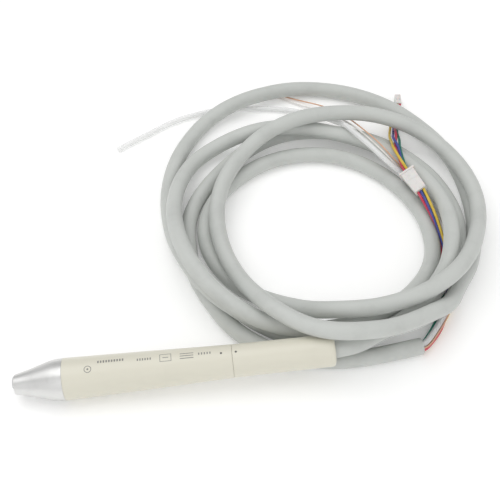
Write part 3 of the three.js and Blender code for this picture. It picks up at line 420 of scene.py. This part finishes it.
def lathe_mesh(name, prof, segs=96, y=0.0, z=0.0, closed=True, zone=None, radius=None):
    """Turned mesh round the handpiece axis, or a line beside it. prof holds (s, r) in mm; radius(s, r, turn) may change r."""
    if closed and np.hypot(*(np.array(prof[0]) - np.array(prof[-1]))) < 1e-6:
        prof = prof[:-1]
    rings, vs, run, prev = [], [], 0.0, None
    for s, r in prof:
        if prev is not None:
            run += math.hypot(s - prev[0], r - prev[1])
        prev = (s, r)
        vs.append(run)
        ring = []
        for j in range(segs):
            t = 2 * math.pi * j / segs
            q = radius(s, r, t) if radius else r
            ring.append(on_axis(s, y + q * math.sin(t), z + q * math.cos(t)) * MM)
        rings.append(ring)
    girth = 2 * math.pi * max(r for _, r in prof)
    return skin(name, rings, vs, girth, closed=closed, zone=zone)


def turned(name, prof, mats, body, node=None, slot=None, segs=72, y=0.0, z=0.0, fillet=0.12, closed=True, **more):
    prof = [tuple(p) for p in prof]
    if closed and prof[0] == prof[-1]:
        prof = prof[:-1]
    if fillet:
        prof = soften(prof, fillet, closed=closed)
    return finish_object(name, lathe_mesh(name, prof, segs, y, z, closed, **more), mats, body, node)


def smooth_path(points, step):
    """Natural cubic spline by chord length through the points (metres), sampled every step; also the tangents."""
    p = np.array(points, float)
    u = np.concatenate([[0], np.cumsum(np.linalg.norm(np.diff(p, axis=0), axis=1))])
    n = len(u)
    h = np.diff(u)
    a = np.zeros((n, n))
    b = np.zeros((n, 3))
    a[0, 0] = a[-1, -1] = 1
    for i in range(1, n - 1):
        a[i, i - 1], a[i, i], a[i, i + 1] = h[i - 1], 2 * (h[i - 1] + h[i]), h[i]
        b[i] = 6 * ((p[i + 1] - p[i]) / h[i] - (p[i] - p[i - 1]) / h[i - 1])
    k = np.linalg.solve(a, b)
    x = np.linspace(0, u[-1], max(2, int(round(u[-1] / step))) + 1)
    i = np.clip(np.searchsorted(u, x, side="right") - 1, 0, n - 2)
    d, e, hi = (x - u[i])[:, None], (u[i + 1] - x)[:, None], h[i][:, None]
    pos = k[i] * e ** 3 / (6 * hi) + k[i + 1] * d ** 3 / (6 * hi) + (p[i] / hi - k[i] * hi / 6) * e + (p[i + 1] / hi - k[i + 1] * hi / 6) * d
    tan = -k[i] * e ** 2 / (2 * hi) + k[i + 1] * d ** 2 / (2 * hi) - (p[i] / hi - k[i] * hi / 6) + (p[i + 1] / hi - k[i + 1] * hi / 6)
    return pos, tan / np.linalg.norm(tan, axis=1)[:, None]


def frames(tan):
    """Frames carried along the tangents without twist."""
    t0 = tan[0]
    n0 = np.cross(t0, [0, 0, 1.0])
    n0 /= np.linalg.norm(n0)
    out = [n0]
    for i in range(1, len(tan)):
        v = out[-1] - tan[i] * (out[-1] @ tan[i])
        out.append(v / np.linalg.norm(v))
    nrm = np.array(out)
    return nrm, np.cross(tan, nrm)


def circle(centre, nrm, bin_, r, k):
    t = np.arange(k) * 2 * math.pi / k
    return centre + r * (np.cos(t)[:, None] * nrm + np.sin(t)[:, None] * bin_)


def metres(key):
    return [[c * 1e-6 for c in q] for q in ROUTE[key]]


def lead_in(points, start=None, end=None, bore=False):
    """Adds a straight bit, in mm, before the first point or after the last, as where a lead runs on inside a housing."""
    p = [np.array(q, float) for q in points]
    if bore:        # back along the hose's own line, at the same place in its bore
        off = p[0] - hose_end
        a, b = float(off @ end_nrm), float(off @ end_bin)
        inner = []
        for back in (6.5, 4.0, 1.6):
            j = int(np.argmin(np.abs(run - (hose_length - back * MM))))
            inner.append(pos[j] + a * nrm[j] + b * bin_[j])
        p = inner + p
    if start:
        d = p[0] - p[1]
        p = [p[0] + d / np.linalg.norm(d) * start * MM] + p
    if end:
        d = p[-1] - p[-2]
        p = p + [p[-1] + d / np.linalg.norm(d) * end * MM]
    return [q.tolist() for q in p]


# ---- hose -----------------------------------------------------------------------------------
R_HOSE, R_BORE = 3.75, 2.85
hose_pts = lead_in(metres("hose"), start=0.8)
pos, tan = smooth_path(hose_pts, 0.0020)
nrm, bin_ = frames(tan)
K = 36
run = np.concatenate([[0], np.cumsum(np.linalg.norm(np.diff(pos, axis=0), axis=1))])
hose_length = float(run[-1])
rings, vs, zone = [], [], []
for i in range(len(pos)):
    # an extruded silicone skin is never quite even: the radius drifts by a few hundredths
    drift = 0.020 * math.sin(run[i] * 61.0) + 0.014 * math.sin(run[i] * 143.0 + 1.3)
    rings.append(circle(pos[i], nrm[i], bin_[i], (R_HOSE + drift - 0.02) * MM, K))
    vs.append(run[i] / MM)
    zone.append(0)
e, en, eb, et = pos[-1], nrm[-1], bin_[-1], tan[-1]
for back, r in ((-0.06, R_HOSE - 0.08), (-0.10, R_HOSE - 0.2), (-0.10, 3.3), (-0.09, R_BORE + 0.1), (-0.02, R_BORE)):
    rings.append(circle(e + et * (-back) * MM, en, eb, r * MM, K))
    vs.append(vs[-1] + 0.3)
    zone.append(1)
for back in (1.2, 3.0, 6.0, 9.0, 12.0, 14.0):
    j = int(np.argmin(np.abs(run - (hose_length - back * MM))))
    rings.append(circle(pos[j], nrm[j], bin_[j], R_BORE * MM, K))
    vs.append(vs[-1] + 1.5)
    zone.append(1)
hose = finish_object("hose", skin("hose", rings, vs, 2 * math.pi * R_HOSE, zone=zone), [HOSE_GREY, HOSE_CUT], "connector_end",
                     ["hose_stretch_%d" % i for i in range(1, 7)])
hose_end, end_nrm, end_bin = e.copy(), en.copy(), eb.copy()


# ---- leads and water tube -------------------------------------------------------------------
def strand(name, key, r, mat, node, start=None, end=None, step=0.0009, k=14, bore=None, inside=False):
    pts = lead_in(metres(key), start, end, inside)
    p, t = smooth_path(pts, step * (1))
    nn, bb = frames(t)
    along = np.concatenate([[0], np.cumsum(np.linalg.norm(np.diff(p, axis=0), axis=1))])
    rg = [circle(p[i], nn[i], bb[i], r * MM * (1 + 0.006 * math.sin(along[i] * 700)), k) for i in range(len(p))]
    v = (along / MM).tolist()
    if bore:
        inner = [circle(p[i], nn[i], bb[i], bore * MM, k) for i in range(len(p))][::-1]
        rg, v = rg + inner, v + [v[-1] + (v[-1] - x) + 1 for x in v[::-1]]
        me = skin(name, rg, v, 2 * math.pi * r, closed=True)
    else:
        me = skin(name, rg, v, 2 * math.pi * r)
    ob = finish_object(name, me, mat, "connector_end", node)
    return ob


# ---- small moulded housings -----------------------------------------------------------------
def brick(bm, x0, x1, y0, y1, z0, z1):
    vs_ = [bm.verts.new((x, y, z)) for x in (x0, x1) for y in (y0, y1) for z in (z0, z1)]
    for q in ((0, 1, 3, 2), (4, 6, 7, 5), (0, 4, 5, 1), (2, 3, 7, 6), (0, 2, 6, 4), (1, 5, 7, 3)):
        bm.faces.new([vs_[i] for i in q])
    bmesh.ops.recalc_face_normals(bm, faces=bm.faces)


def scratch(name, build):
    me = bpy.data.meshes.new(name)
    bm = bmesh.new()
    build(bm)
    bm.to_mesh(me)
    bm.free()
    ob = bpy.data.objects.new(name, me)
    bpy.context.scene.collection.objects.link(ob)
    return ob


def carve(name, base, cutters, adders=(), bevel=0.12, segments=3, seam=None, taper=None):
    """Joins and cuts boxes (x0, x1, y0, y1, z0, z1 in mm), rounds the edges, and returns the mesh in mm.
    Edges in the plane x = seam stay nearly sharp. taper holds (x0, x1, y scale, z scale) reached at x1."""
    ob = scratch(name + "_base", lambda bm: brick(bm, *base))
    temp = [ob]
    for i, (kind, item) in enumerate([("UNION", a) for a in adders] + [("DIFFERENCE", c) for c in cutters]):
        if len(item) == 6:
            other = scratch(name + "_%d" % i, lambda bm, it=item: brick(bm, *it))
        else:      # round hole or post along x: (x0, x1, r, y, z)
            x0, x1, r, y, z = item

            def rod_(bm):
                bmesh.ops.create_cone(bm, cap_ends=True, segments=28, radius1=r, radius2=r, depth=x1 - x0,
                                      matrix=Matrix.Translation(((x0 + x1) / 2, y, z)) @ Matrix.Rotation(math.pi / 2, 4, "Y"))
            other = scratch(name + "_%d" % i, rod_)
        temp.append(other)
        mod = ob.modifiers.new("b%d" % i, "BOOLEAN")
        mod.operation, mod.object, mod.solver = kind, other, "EXACT"
    dg = bpy.context.evaluated_depsgraph_get()
    me = bpy.data.meshes.new_from_object(ob.evaluated_get(dg))
    me.name = name
    for o in temp:
        bpy.data.objects.remove(o)
    bm = bmesh.new()
    bm.from_mesh(me)
    bmesh.ops.remove_doubles(bm, verts=bm.verts, dist=1e-4)
    bmesh.ops.dissolve_limit(bm, angle_limit=math.radians(1), verts=bm.verts, edges=bm.edges)
    if taper:
        x0, x1, ky, kz = taper
        for v in bm.verts:
            t = min(1.0, max(0.0, (v.co.x - x0) / (x1 - x0)))
            v.co.y *= 1 + (ky - 1) * t
            v.co.z *= 1 + (kz - 1) * t
    flat = lambda e_: seam is not None and all(abs(v.co.x - seam) < 1e-3 for v in e_.verts)
    chosen = [e_ for e_ in bm.edges if len(e_.link_faces) == 2 and e_.calc_face_angle(0.0) > math.radians(40) and not flat(e_)]
    outer = [e_ for e_ in chosen if min(e_.calc_length() for e_ in [e_]) > 0.6]
    bmesh.ops.bevel(bm, geom=outer, offset=bevel, offset_type="OFFSET", segments=segments, profile=0.5, affect="EDGES", clamp_overlap=True)
    bm.to_mesh(me)
    bm.free()
    return me


def seat(me, origin, ax, ay, az):
    """Places a mesh made in mm by an origin and three axes."""
    m4 = Matrix.Identity(4)
    for i in range(3):
        m4[i][0], m4[i][1], m4[i][2], m4[i][3] = ax[i] * MM, ay[i] * MM, az[i] * MM, origin[i] * MM
    me.transform(m4)
    me.materials.clear()
    return me


IN_O, IN_X, IN_Y, IN_Z = (115.716, 96.532, 14.613), (0.3607, -0.93164, -0.04413), (0.8584, 0.3131, 0.40634), (-0.36474, -0.18445, 0.91266)
LANES = (1.65, 0.55, -0.55, -1.65)
FLANGE_HOLES = ((-0.73, 0.35), (-0.62, -0.98), (0.72, -0.90), (0.78, 0.44))
WIRE_HOLES = ((-1.75, 0.15), (-0.40, 0.30), (0.45, -0.95), (1.20, 0.55))
# flanged half: shroud with a mating cavity, wire holes through the flange, a latch window and ribs underneath
sock_cut = [(2.3, 6.3, -2.55, 2.55, -1.75, 1.75)] + [(-0.5, 2.6, 0.69, y, z) for y, z in FLANGE_HOLES] + [(3.0, 4.6, -1.1, 1.1, -3.2, -1.5)]
sock_add = [(0.9, 5.82, -3.4, 3.4, -2.5, 2.5), (0.9, 4.9, -2.3, -1.8, -2.72, -2.3), (0.9, 4.9, 1.8, 2.3, -2.72, -2.3)]
me = seat(carve("inline_socket", (0, 0.95, -4.1, 4.1, -2.95, 2.95), sock_cut, sock_add, bevel=0.26, seam=5.82, taper=(0.95, 5.82, 0.934, 0.96)), IN_O, IN_X, IN_Y, IN_Z)
inline_socket = finish_object("inline_socket", me, NYLON, "connector_end", "inline_socket_housing")
# plug half: tapered body, wire holes, retention windows underneath and a mating tongue
plug_cut = [(11.2, 14.2, 0.69, y, z) for y, z in WIRE_HOLES] + [(2.6, 5.0, 0.34, y, 0.0) for y in LANES] \
    + [(8.4, 10.2, y - 0.36, y + 0.36, -3.0, -1.9) for y in LANES]
plug_add = [(2.9, 6.4, -2.25, 2.25, -1.45, 1.45)]
me = seat(carve("inline_plug", (5.88, 12.75, -3.17, 3.17, -2.395, 2.395), plug_cut, plug_add, bevel=0.30, seam=5.88, taper=(5.88, 12.75, 0.915, 0.94)), IN_O, IN_X, IN_Y, IN_Z)
inline_plug = finish_object("inline_plug", me, NYLON, "connector_end", "inline_plug_housing")

END_O, END_X, END_Y, END_Z = (123.544, 154.417, 4.47), (0.09115, 0.99584, 0), (-0.99584, 0.09115, 0), (0.0, 0.0, 1.0)
holes = [(y, z) for y in (-0.72, 0.72) for z in (-3.15, -1.35)]
end_cut = [(4.4, 7.0, -1.0, 1.0, -3.6, -0.7)] + [(-0.4, 1.7, 0.67, y, z) for y, z in holes] + [(2.3, 3.3, y - 0.32, y + 0.32, -0.45, 0.3) for y in (-0.72, 0.72)]
end_add = [(0.5, 3.9, -0.22, 0.22, -0.3, -0.02)]
me = seat(carve("end_plug", (0, 6.4, -1.5, 1.5, -4.2, -0.1), end_cut, end_add, bevel=0.13), END_O, END_X, END_Y, END_Z)
end_plug = finish_object("end_plug", me, NYLON, "connector_end", "end_plug_housing")


def little_tube(name, origin, axes, x0, x1, r, ri, y, z, mat, body, segs=24):
    """Contact sleeve of a connector, in the connector's own axes (mm)."""
    prof = soften([(x0, ri), (x0, r), (x1, r), (x1, ri)], 0.05, 2)
    o, (ax, ay, az) = np.array(origin), [np.array(v) for v in axes]
    rg, v, acc = [], [], 0.0
    for s, q in prof:
        acc += 0.2
        v.append(acc)
        rg.append([(o + ax * s + ay * (y + q * math.cos(t)) + az * (z + q * math.sin(t))) * MM for t in np.arange(segs) * 2 * math.pi / segs])
    return finish_object(name, skin(name, rg, v, 2 * math.pi * r, closed=True), mat, body, None)


end_contacts = [little_tube("end_contact_%d" % (i + 1), END_O, (END_X, END_Y, END_Z), 2.8, 5.7, 0.34, 0.20, y * 0.75, z, GOLD, "connector_end") for i, (y, z) in enumerate(holes)]
inline_contacts = [little_tube("inline_contact_%d" % (i + 1), IN_O, (IN_X, IN_Y, IN_Z), 7.6, 10.7, 0.48, 0.28, y, 0.0, GOLD, "connector_end") for i, y in enumerate(LANES)]

NEAR_END = tuple(np.array(END_O) * MM + np.array([0, 0, -2.15]) * MM)
for col in ("red", "blue", "green", "yellow"):
    strand("lead_%s_1" % col, col + "_a", 0.65, WIRE[col], "lead_%s_hose_side" % col,
           inside=True, end=2.4)
    strand("lead_%s_2" % col, col + "_b", 0.65, WIRE[col], "lead_%s_plug_side" % col,
           start=1.6, end=1.4)
strand("lamp_lead_orange_run", "orange", 0.35, WIRE["orange"], "lamp_lead_orange", inside=True)
strand("lamp_lead_white_run", "white", 0.40, WIRE["white"], "lamp_lead_white", inside=True)
water = strand("water_line", "tube", 1.35, TUBING, "water_tube", inside=True, step=0.0014, k=24, bore=0.80)

# ---- nose cap -------------------------------------------------------------------------------
outer = spline_r([(0.55, 4.17), (4, 4.98), (7.65, 5.92), (10.5, 6.80), (12.8, 7.50), (16, 8.38), (18, 8.68), (19.5, 8.775), (20.72, 8.79)], 48)
nose = [(0.35, 3.6), (0.08, 3.68), (0.0, 3.82), (0.06, 3.97), (0.26, 4.10)] + outer + [(21.0, 8.785), (21.06, 8.74), (21.065, 7.2), (16, 7.2), (9.0, 5.6), (5.5, 3.6)]
nose_zone = [1] * 5 + [0] * (len(nose) - 5)
finish_object("nose_cap", lathe_mesh("nose_cap", nose, 160, zone=nose_zone), [SATIN, RIM], "nozzle", "nozzle_cap")
turned("light_guide", [(0.5, 2.65), (0.5, 3.3), (5.8, 3.3), (9.3, 5.2), (10.4, 5.2), (10.4, 2.65)], GUIDE, "light_guide", "light_guide_ring", "clear_guide", segs=96, fillet=0.18)

# ---- lamp board and lamps -------------------------------------------------------------------
turned("lamp_ring_board", [(12.2, 2.65), (12.2, 6.1), (13.1, 6.1), (13.1, 2.65)], BOARD, "handpiece", "lamp_board", "board_green", segs=96, fillet=0.06)
for i in range(4):
    t = i * math.pi / 2 + math.pi / 4
    radial, across = np.array([0, -math.sin(t), math.cos(t)]), np.array([0, math.cos(t), math.sin(t)])
    # the box geometry of the lamps is turned about the axis by t
    rd = SIDE * (-math.sin(t)) + TOP * math.cos(t)
    ac = SIDE * math.cos(t) + TOP * math.sin(t)
    o = TIP + 11.5 * AX + 4.1 * rd
    me = carve("lamp_%d" % (i + 1), (-0.4, 0.4, -0.75, 0.75, -0.65, 0.65), [], [(-0.44, 0.0, 0.42, 0.0, 0.0)], bevel=0.07)
    finish_object("lamp_%d" % (i + 1), seat(me, o, AX, ac, rd), LED, "handpiece", "lamp_led_%d" % (i + 1))

# ---- body shell -----------------------------------------------------------------------------
body_out = spline_r([(21.45, 8.79), (33, 8.53), (45, 8.24), (58, 7.90), (70, 7.56), (80, 7.26), (90.88, 6.955)], 72)
def neck_thread(s, r, t):
    """Shallow screw thread, 1 mm pitch, on the neck the nose cap screws over."""
    if 16.95 < s < 20.6 and 6.5 < r < 7.0:
        ph = (s - t / (2 * math.pi)) % 1.0
        ease = min(1, (s - 16.95) / 0.4, (20.6 - s) / 0.4)
        return r - 0.26 * abs(2 * ph - 1) * ease
    return r


shell = [(16.8, 6.0), (16.8, 6.78), (16.9, 6.9)] + [(17.0 + 0.1 * i, 6.9) for i in range(37)] + [(21.11, 6.9), (21.11, 8.72), (21.15, 8.775)] + body_out + [(91.02, 6.935), (91.12, 6.88), (91.165, 6.80), (91.165, 5.9), (90.8, 5.75),
         (84, 5.75), (60, 6.4), (27, 7.3), (25, 6.0)]
finish_object("body_shell", lathe_mesh("body_shell", shell, 192, radius=neck_thread), CREAM, "handpiece", "handpiece_housing")
rear_out = spline_r([(91.48, 6.945), (98, 6.90), (106, 6.865), (113, 6.85), (121, 6.85), (129.0, 6.85)], 40)
rear = [(91.235, 5.6), (91.235, 6.80), (91.28, 6.88), (91.37, 6.93)] + rear_out + [(131.4, 6.85), (132.1, 6.84), (132.6, 6.78), (133.0, 6.64), (133.3, 6.42), (133.52, 6.12), (133.67, 5.78), (133.77, 5.4), (133.8, 4.95),
        (133.72, 4.62), (133.5, 4.5), (130.2, 4.3), (129.0, 5.6)]
finish_object("connector_shell", lathe_mesh("connector_shell", rear, 192), CREAM, "connector_end", "rear_shell")


# ---- generic printed marks: plain rows of ticks, a ring and a box, raised a hundredth --------
def shell_radius(s):
    table = body_out if s < 91.2 else rear_out
    return float(np.interp(s, [q[0] for q in table], [q[1] for q in table]))


def decal(name, outlines, body, mat=PRINT):
    """Flat ink patches laid on the shell. Each outline is a grid (n, m, 2) of (s, arc position in mm from the top line)."""
    verts, faces = [], []
    for grid in outlines:
        grid = np.asarray(grid, float)
        n, mcount = grid.shape[:2]
        base = len(verts)
        for layer in (0.004, 0.022):
            for row in grid:
                for s, a in row:
                    r = shell_radius(s) + layer
                    t = a / shell_radius(s)
                    verts.append((on_axis(s, -r * math.sin(t), r * math.cos(t)) * MM).tolist())
        nm = n * mcount
        idx = lambda i, j, l: base + l * nm + i * mcount + j
        for i in range(n - 1):
            for j in range(mcount - 1):
                faces.append((idx(i, j, 1), idx(i + 1, j, 1), idx(i + 1, j + 1, 1), idx(i, j + 1, 1)))
                faces.append((idx(i, j, 0), idx(i, j + 1, 0), idx(i + 1, j + 1, 0), idx(i + 1, j, 0)))
        ring_ids = [(i, 0) for i in range(n)] + [(n - 1, j) for j in range(1, mcount)] + [(i, mcount - 1) for i in range(n - 2, -1, -1)] + [(0, j) for j in range(mcount - 2, 0, -1)]
        for q in range(len(ring_ids)):
            a, b = ring_ids[q], ring_ids[(q + 1) % len(ring_ids)]
            faces.append((idx(*a, 0), idx(*b, 0), idx(*b, 1), idx(*a, 1)))
    me = bpy.data.meshes.new(name)
    me.from_pydata(verts, [], faces)
    me.uv_layers.new(name="run")
    me.update()
    return finish_object(name, me, mat, body, None)


def patch(s0, s1, a0, a1, n=3, k=6):
    return [[(s, a) for a in np.linspace(a0, a1, k)] for s in np.linspace(s0, s1, n)]


def annulus(s, a, r0, r1, k=40):
    """Ring of ink as two half rings, so that each is a plain grid."""
    out = []
    for h in (0, 1):
        t = np.linspace(h * math.pi, (h + 1) * math.pi, k // 2 + 1)
        out.append([[(s + q * math.cos(x), a + q * math.sin(x)) for q in (r0, r1)] for x in t])
    return out


def disc(s, a, r, k=28):
    t = np.linspace(0, math.pi, k // 2 + 1)
    return [[[(s + r * math.cos(x), a + r * math.sin(x) * y) for y in np.linspace(-1, 1, 7)] for x in t]]


marks = []
marks += annulus(32.0, 1.6, 1.25, 1.52) + disc(32.0, 1.6, 0.42)                       # ring with a dot
marks += [patch(36.0 + 1.12 * i, 36.62 + 1.12 * i, -2.0, -0.75) for i in range(10)]    # row of ten ticks
marks += [patch(52.2 + 1.05 * i, 52.72 + 1.05 * i, -1.1, 0.0) for i in range(6)]       # row of six ticks
for a0, a1, s0, s1 in ((-2.2, -1.98, 61.5, 66.3), (1.18, 1.4, 61.5, 66.3), (-2.2, 1.4, 61.5, 61.72), (-2.2, 1.4, 66.08, 66.3), (-0.55, -0.25, 62.7, 65.1)):
    marks.append(patch(s0, s1, a0, a1, n=4 if s1 - s0 > 1 else 2, k=4 if a1 - a0 < 1 else 8))
marks += [patch(69.8, 75.4, -1.7, -1.35, n=4), patch(69.8, 75.4, -0.55, -0.2, n=4), patch(69.8, 75.4, 0.6, 0.95, n=4)]   # three bars
marks += [patch(77.4 + 1.15 * i, 77.9 + 1.15 * i, -1.3, -0.2) for i in range(5)]
decal("printed_marks", marks, "handpiece")
DOT = material("alignment_ink", (0.085, 0.085, 0.08), 0.5, vary=0.12, scale=2500.0, bumps=((6000.0, 0.004),))
decal("alignment_dot_front", disc(86.75, 0.0, 0.46), "handpiece", DOT)
decal("alignment_dot_rear", disc(92.85, 0.0, 0.46), "connector_end", DOT)


# ---- horn with its threaded stud ------------------------------------------------------------
def threaded(s, r, t):
    if 1.75 < s < 4.9 and r > 1.2:
        ph = ((s - 0.6 * t / (2 * math.pi)) / 0.6) % 1.0
        tri = 1 - abs(2 * ph - 1)
        ease = min(1, (s - 1.75) / 0.4, (4.9 - s) / 0.3)
        return r - 0.33 * (1 - tri) * ease
    return r


stud = [(1.5, 0.45), (1.5, 1.18), (1.72, 1.42)] + [(1.76 + 0.05 * i, 1.5) for i in range(63)] + [(4.94, 1.42), (5.0, 1.42)]
horn = stud + soften([(5.0, 1.42), (5.0, 2.3), (15, 2.3), (19, 3.2), (22, 4.3), (27, 4.3), (28.4, 5.5), (31, 5.5), (31.6, 4.8), (36.0, 4.8), (36.0, 2.15), (30.0, 2.15), (30.0, 0.45)], 0.15, closed=False)[1:]
finish_object("horn_with_stud", lathe_mesh("horn_with_stud", horn, 96, radius=threaded), TITANIUM, "handpiece", "horn", sharp=0.9)

# ---- transducer stack and contacts inside the body ------------------------------------------
turned("inner_sleeve", [(28, 6.1), (28, 6.95), (58, 6.1), (58, 5.4)], INNER, "handpiece", "transducer_sleeve", "inner_plastic", fillet=0.15)


def o_ring(name, s, centre, r, mat, body, node):
    prof = [(s + r * math.sin(t), centre + r * math.cos(t)) for t in np.arange(20) * 2 * math.pi / 20]
    return finish_object(name, lathe_mesh(name, prof, 80), mat, body, node)


o_ring("front_seal", 23.6, 5.15, 0.5, RUBBER, "handpiece", "front_o_ring")
for i in range(4):
    s = 36.3 + 3.2 * i
    turned("piezo_%d" % (i + 1), [(s, 2.15), (s, 4.5), (s + 2.2, 4.5), (s + 2.2, 2.15)], CERAMIC, "handpiece", "piezo_ring_%d" % (i + 1), "piezo_ceramic")
    turned("electrode_plate_%d" % (i + 1), [(s + 2.5, 2.15), (s + 2.5, 4.8), (s + 2.9, 4.8), (s + 2.9, 2.15)], GOLD, "handpiece", "electrode_%d" % (i + 1), "contact_brass", fillet=0.05)
turned("rear_mass", [(49.1, 2.15), (49.1, 4.3), (58, 4.3), (58.6, 3.9), (60.0, 3.9), (60.0, 2.15)], STEEL, "handpiece", "back_mass", "steel")
turned("stack_bolt", [(30.4, 0.6), (30.4, 1.8), (60.3, 1.8), (60.3, 3.3), (63.3, 3.3), (63.3, 0.6)], STEEL, "handpiece", "preload_bolt", "steel", fillet=0.1)
turned("contact_carrier", [(68, 1.0), (68, 5.6), (72, 5.6), (72.6, 5.2), (74, 5.2), (74, 1.0)], DARK, "handpiece", "contact_block", "dark_plastic", segs=96)
RING4 = [(2.75 * math.cos(math.radians(45 + 90 * i)), 2.75 * math.sin(math.radians(45 + 90 * i))) for i in range(4)]
for i, (y, z) in enumerate(RING4):
    turned("pin_%d" % (i + 1), [(74.3, 0.0), (74.3, 0.32), (81.5, 0.32), (81.85, 0.24), (82.0, 0.1), (82.0, 0.0)], GOLD, "handpiece", "contact_pin_%d" % (i + 1), "contact_brass",
           segs=32, y=y, z=z, fillet=0.03, closed=False)
turned("water_spigot", [(74.3, 0.4), (74.3, 0.95), (82.5, 0.95), (83.0, 0.72), (83.0, 0.4)], STEEL, "handpiece", "water_nipple", "steel", segs=48, fillet=0.06)
o_ring("spigot_seal", 75.4, 1.7, 0.38, RUBBER, "handpiece", "water_seal_ring")
turned("stack_lead_live", [(49.2, 0), (49.2, 0.3), (67.6, 0.3), (67.6, 0)], WIRE["red"], "handpiece", "lead_live", "wire_red", segs=20, y=0, z=4.9, fillet=0.04, closed=False)
turned("stack_lead_return", [(49.2, 0), (49.2, 0.3), (67.6, 0.3), (67.6, 0)], WIRE["black"], "handpiece", "lead_return", "wire_black", segs=20, y=0, z=-4.9, fillet=0.04, closed=False)

# ---- connector side: insert with its four sockets -------------------------------------------
prof = soften([(76.6, 1.3), (76.6, 5.1), (77.0, 5.3), (83.0, 5.3), (83.0, 4.25), (85.4, 4.25), (85.4, 5.3), (94.6, 5.3), (94.6, 1.3)], 0.12)
me = lathe_mesh("insert", prof, 96)
tmp = bpy.data.objects.new("insert_tmp", me)
bpy.context.scene.collection.objects.link(tmp)
bmf = bmesh.new()
bmf.from_mesh(me)
bmesh.ops.recalc_face_normals(bmf, faces=bmf.faces)
bmf.to_mesh(me)
bmf.free()
cutters = []
for i, (y, z) in enumerate(RING4):
    hole = lathe_mesh("hole_%d" % i, [(76.0, 0), (76.0, 1.45), (76.5, 1.1), (76.95, 1.05), (88.5, 1.05), (88.5, 0)], 36, y, z, closed=False)
    ho = bpy.data.objects.new("hole_%d" % i, hole)
    bmf = bmesh.new()
    bmf.from_mesh(hole)
    bmesh.ops.remove_doubles(bmf, verts=bmf.verts, dist=1e-8)
    bmesh.ops.recalc_face_normals(bmf, faces=bmf.faces)
    bmf.to_mesh(hole)
    bmf.free()
    bpy.context.scene.collection.objects.link(ho)
    cutters.append(ho)
    mod = tmp.modifiers.new("h%d" % i, "BOOLEAN")
    mod.operation, mod.object, mod.solver = "DIFFERENCE", ho, "EXACT"
me2 = bpy.data.meshes.new_from_object(tmp.evaluated_get(bpy.context.evaluated_depsgraph_get()))
me2.materials.clear()
for o in [tmp] + cutters:
    bpy.data.objects.remove(o)
finish_object("insert_with_sockets", me2, DARK, "connector_end", "socket_insert")
for i, (y, z) in enumerate(RING4):
    turned("socket_%d" % (i + 1), [(77.2, 0.6), (77.2, 0.78), (87.8, 0.78), (87.8, 0.6)], GOLD, "connector_end", "contact_socket_%d" % (i + 1), "contact_brass", segs=36, y=y, z=z, fillet=0.05)
o_ring("latch_seal", 84.2, 5.0, 0.42, RED_SEAL, "connector_end", "latch_o_ring")
turned("inner_line", [(95.0, 0), (95.0, 0.9), (117.6, 0.9), (117.6, 0)], TUBING, "connector_end", "inner_water_line", "clear_tube", segs=24, z=-0.9, fillet=0.08, closed=False)
turned("inner_bundle_run", [(95.0, 0), (95.0, 1.1), (117.6, 1.1), (117.6, 0)], WIRE["grey"], "connector_end", "inner_lead_bundle", "inner_bundle", segs=24, z=1.8, fillet=0.1, closed=False)
turned("clamp_nut", [(118.0, 1.6), (118.0, 5.2), (128.6, 5.2), (129.1, 4.6), (129.1, 1.6)], STEEL, "connector_end", "hose_clamp_nut", "steel", fillet=0.15)

# ---- floor and light ------------------------------------------------------------------------
bpy.ops.mesh.primitive_plane_add(size=16.0, location=(0.04, 0.08, -0.0002))
floor = bpy.context.object
floor.name = "floor"
FLOOR = material("pale_floor", (0.93, 0.93, 0.925), 0.85, vary=0.006, scale=2.0, rough_vary=0.03, bumps=((300.0, 0.01),), Specular_IOR_Level=0.1, Emission_Color=(1.0, 1.0, 1.0, 1.0), Emission_Strength=0.14)
floor.data.materials.append(FLOOR)


def area(name, where, toward, size, power, colour=(1, 1, 1)):
    data = bpy.data.lights.new(name, "AREA")
    data.shape, data.size, data.energy, data.color = "DISK", size, power, colour
    ob = bpy.data.objects.new(name, data)
    bpy.context.scene.collection.objects.link(ob)
    ob.location = where
    ob.rotation_mode = "QUATERNION"
    ob.rotation_quaternion = (Vector(toward) - Vector(where)).to_track_quat("-Z", "Y")
    return ob


area("key", (-0.25, 0.25, 0.95), (0.04, 0.06, 0), 1.0, 3.4)
area("fill", (0.75, -0.35, 0.75), (0.04, 0.06, 0), 0.8, 1.0)
area("front", (-0.25, -0.80, 0.60), (0.02, 0.04, 0), 1.4, 2.2)
world = bpy.data.worlds.new("studio")
bpy.context.scene.world = world
world.use_nodes = True
wn, wl = world.node_tree.nodes, world.node_tree.links
bg = wn["Background"]
wc = wn.new("ShaderNodeTexCoord")
sep = wn.new("ShaderNodeSeparateXYZ")
wl.new(wc.outputs["Generated"], sep.inputs["Vector"])
wr = wn.new("ShaderNodeValToRGB")
wr.color_ramp.elements[0].position, wr.color_ramp.elements[1].position = 0.0, 0.85
wr.color_ramp.elements[0].color = (0.86, 0.86, 0.86, 1)
wr.color_ramp.elements[1].color = (1.0, 1.0, 1.0, 1)
wl.new(sep.outputs["Z"], wr.inputs["Fac"])
wl.new(wr.outputs["Color"], bg.inputs["Color"])
bg.inputs["Strength"].default_value = 0.67
bpy.context.scene.view_settings.view_transform = "Standard"
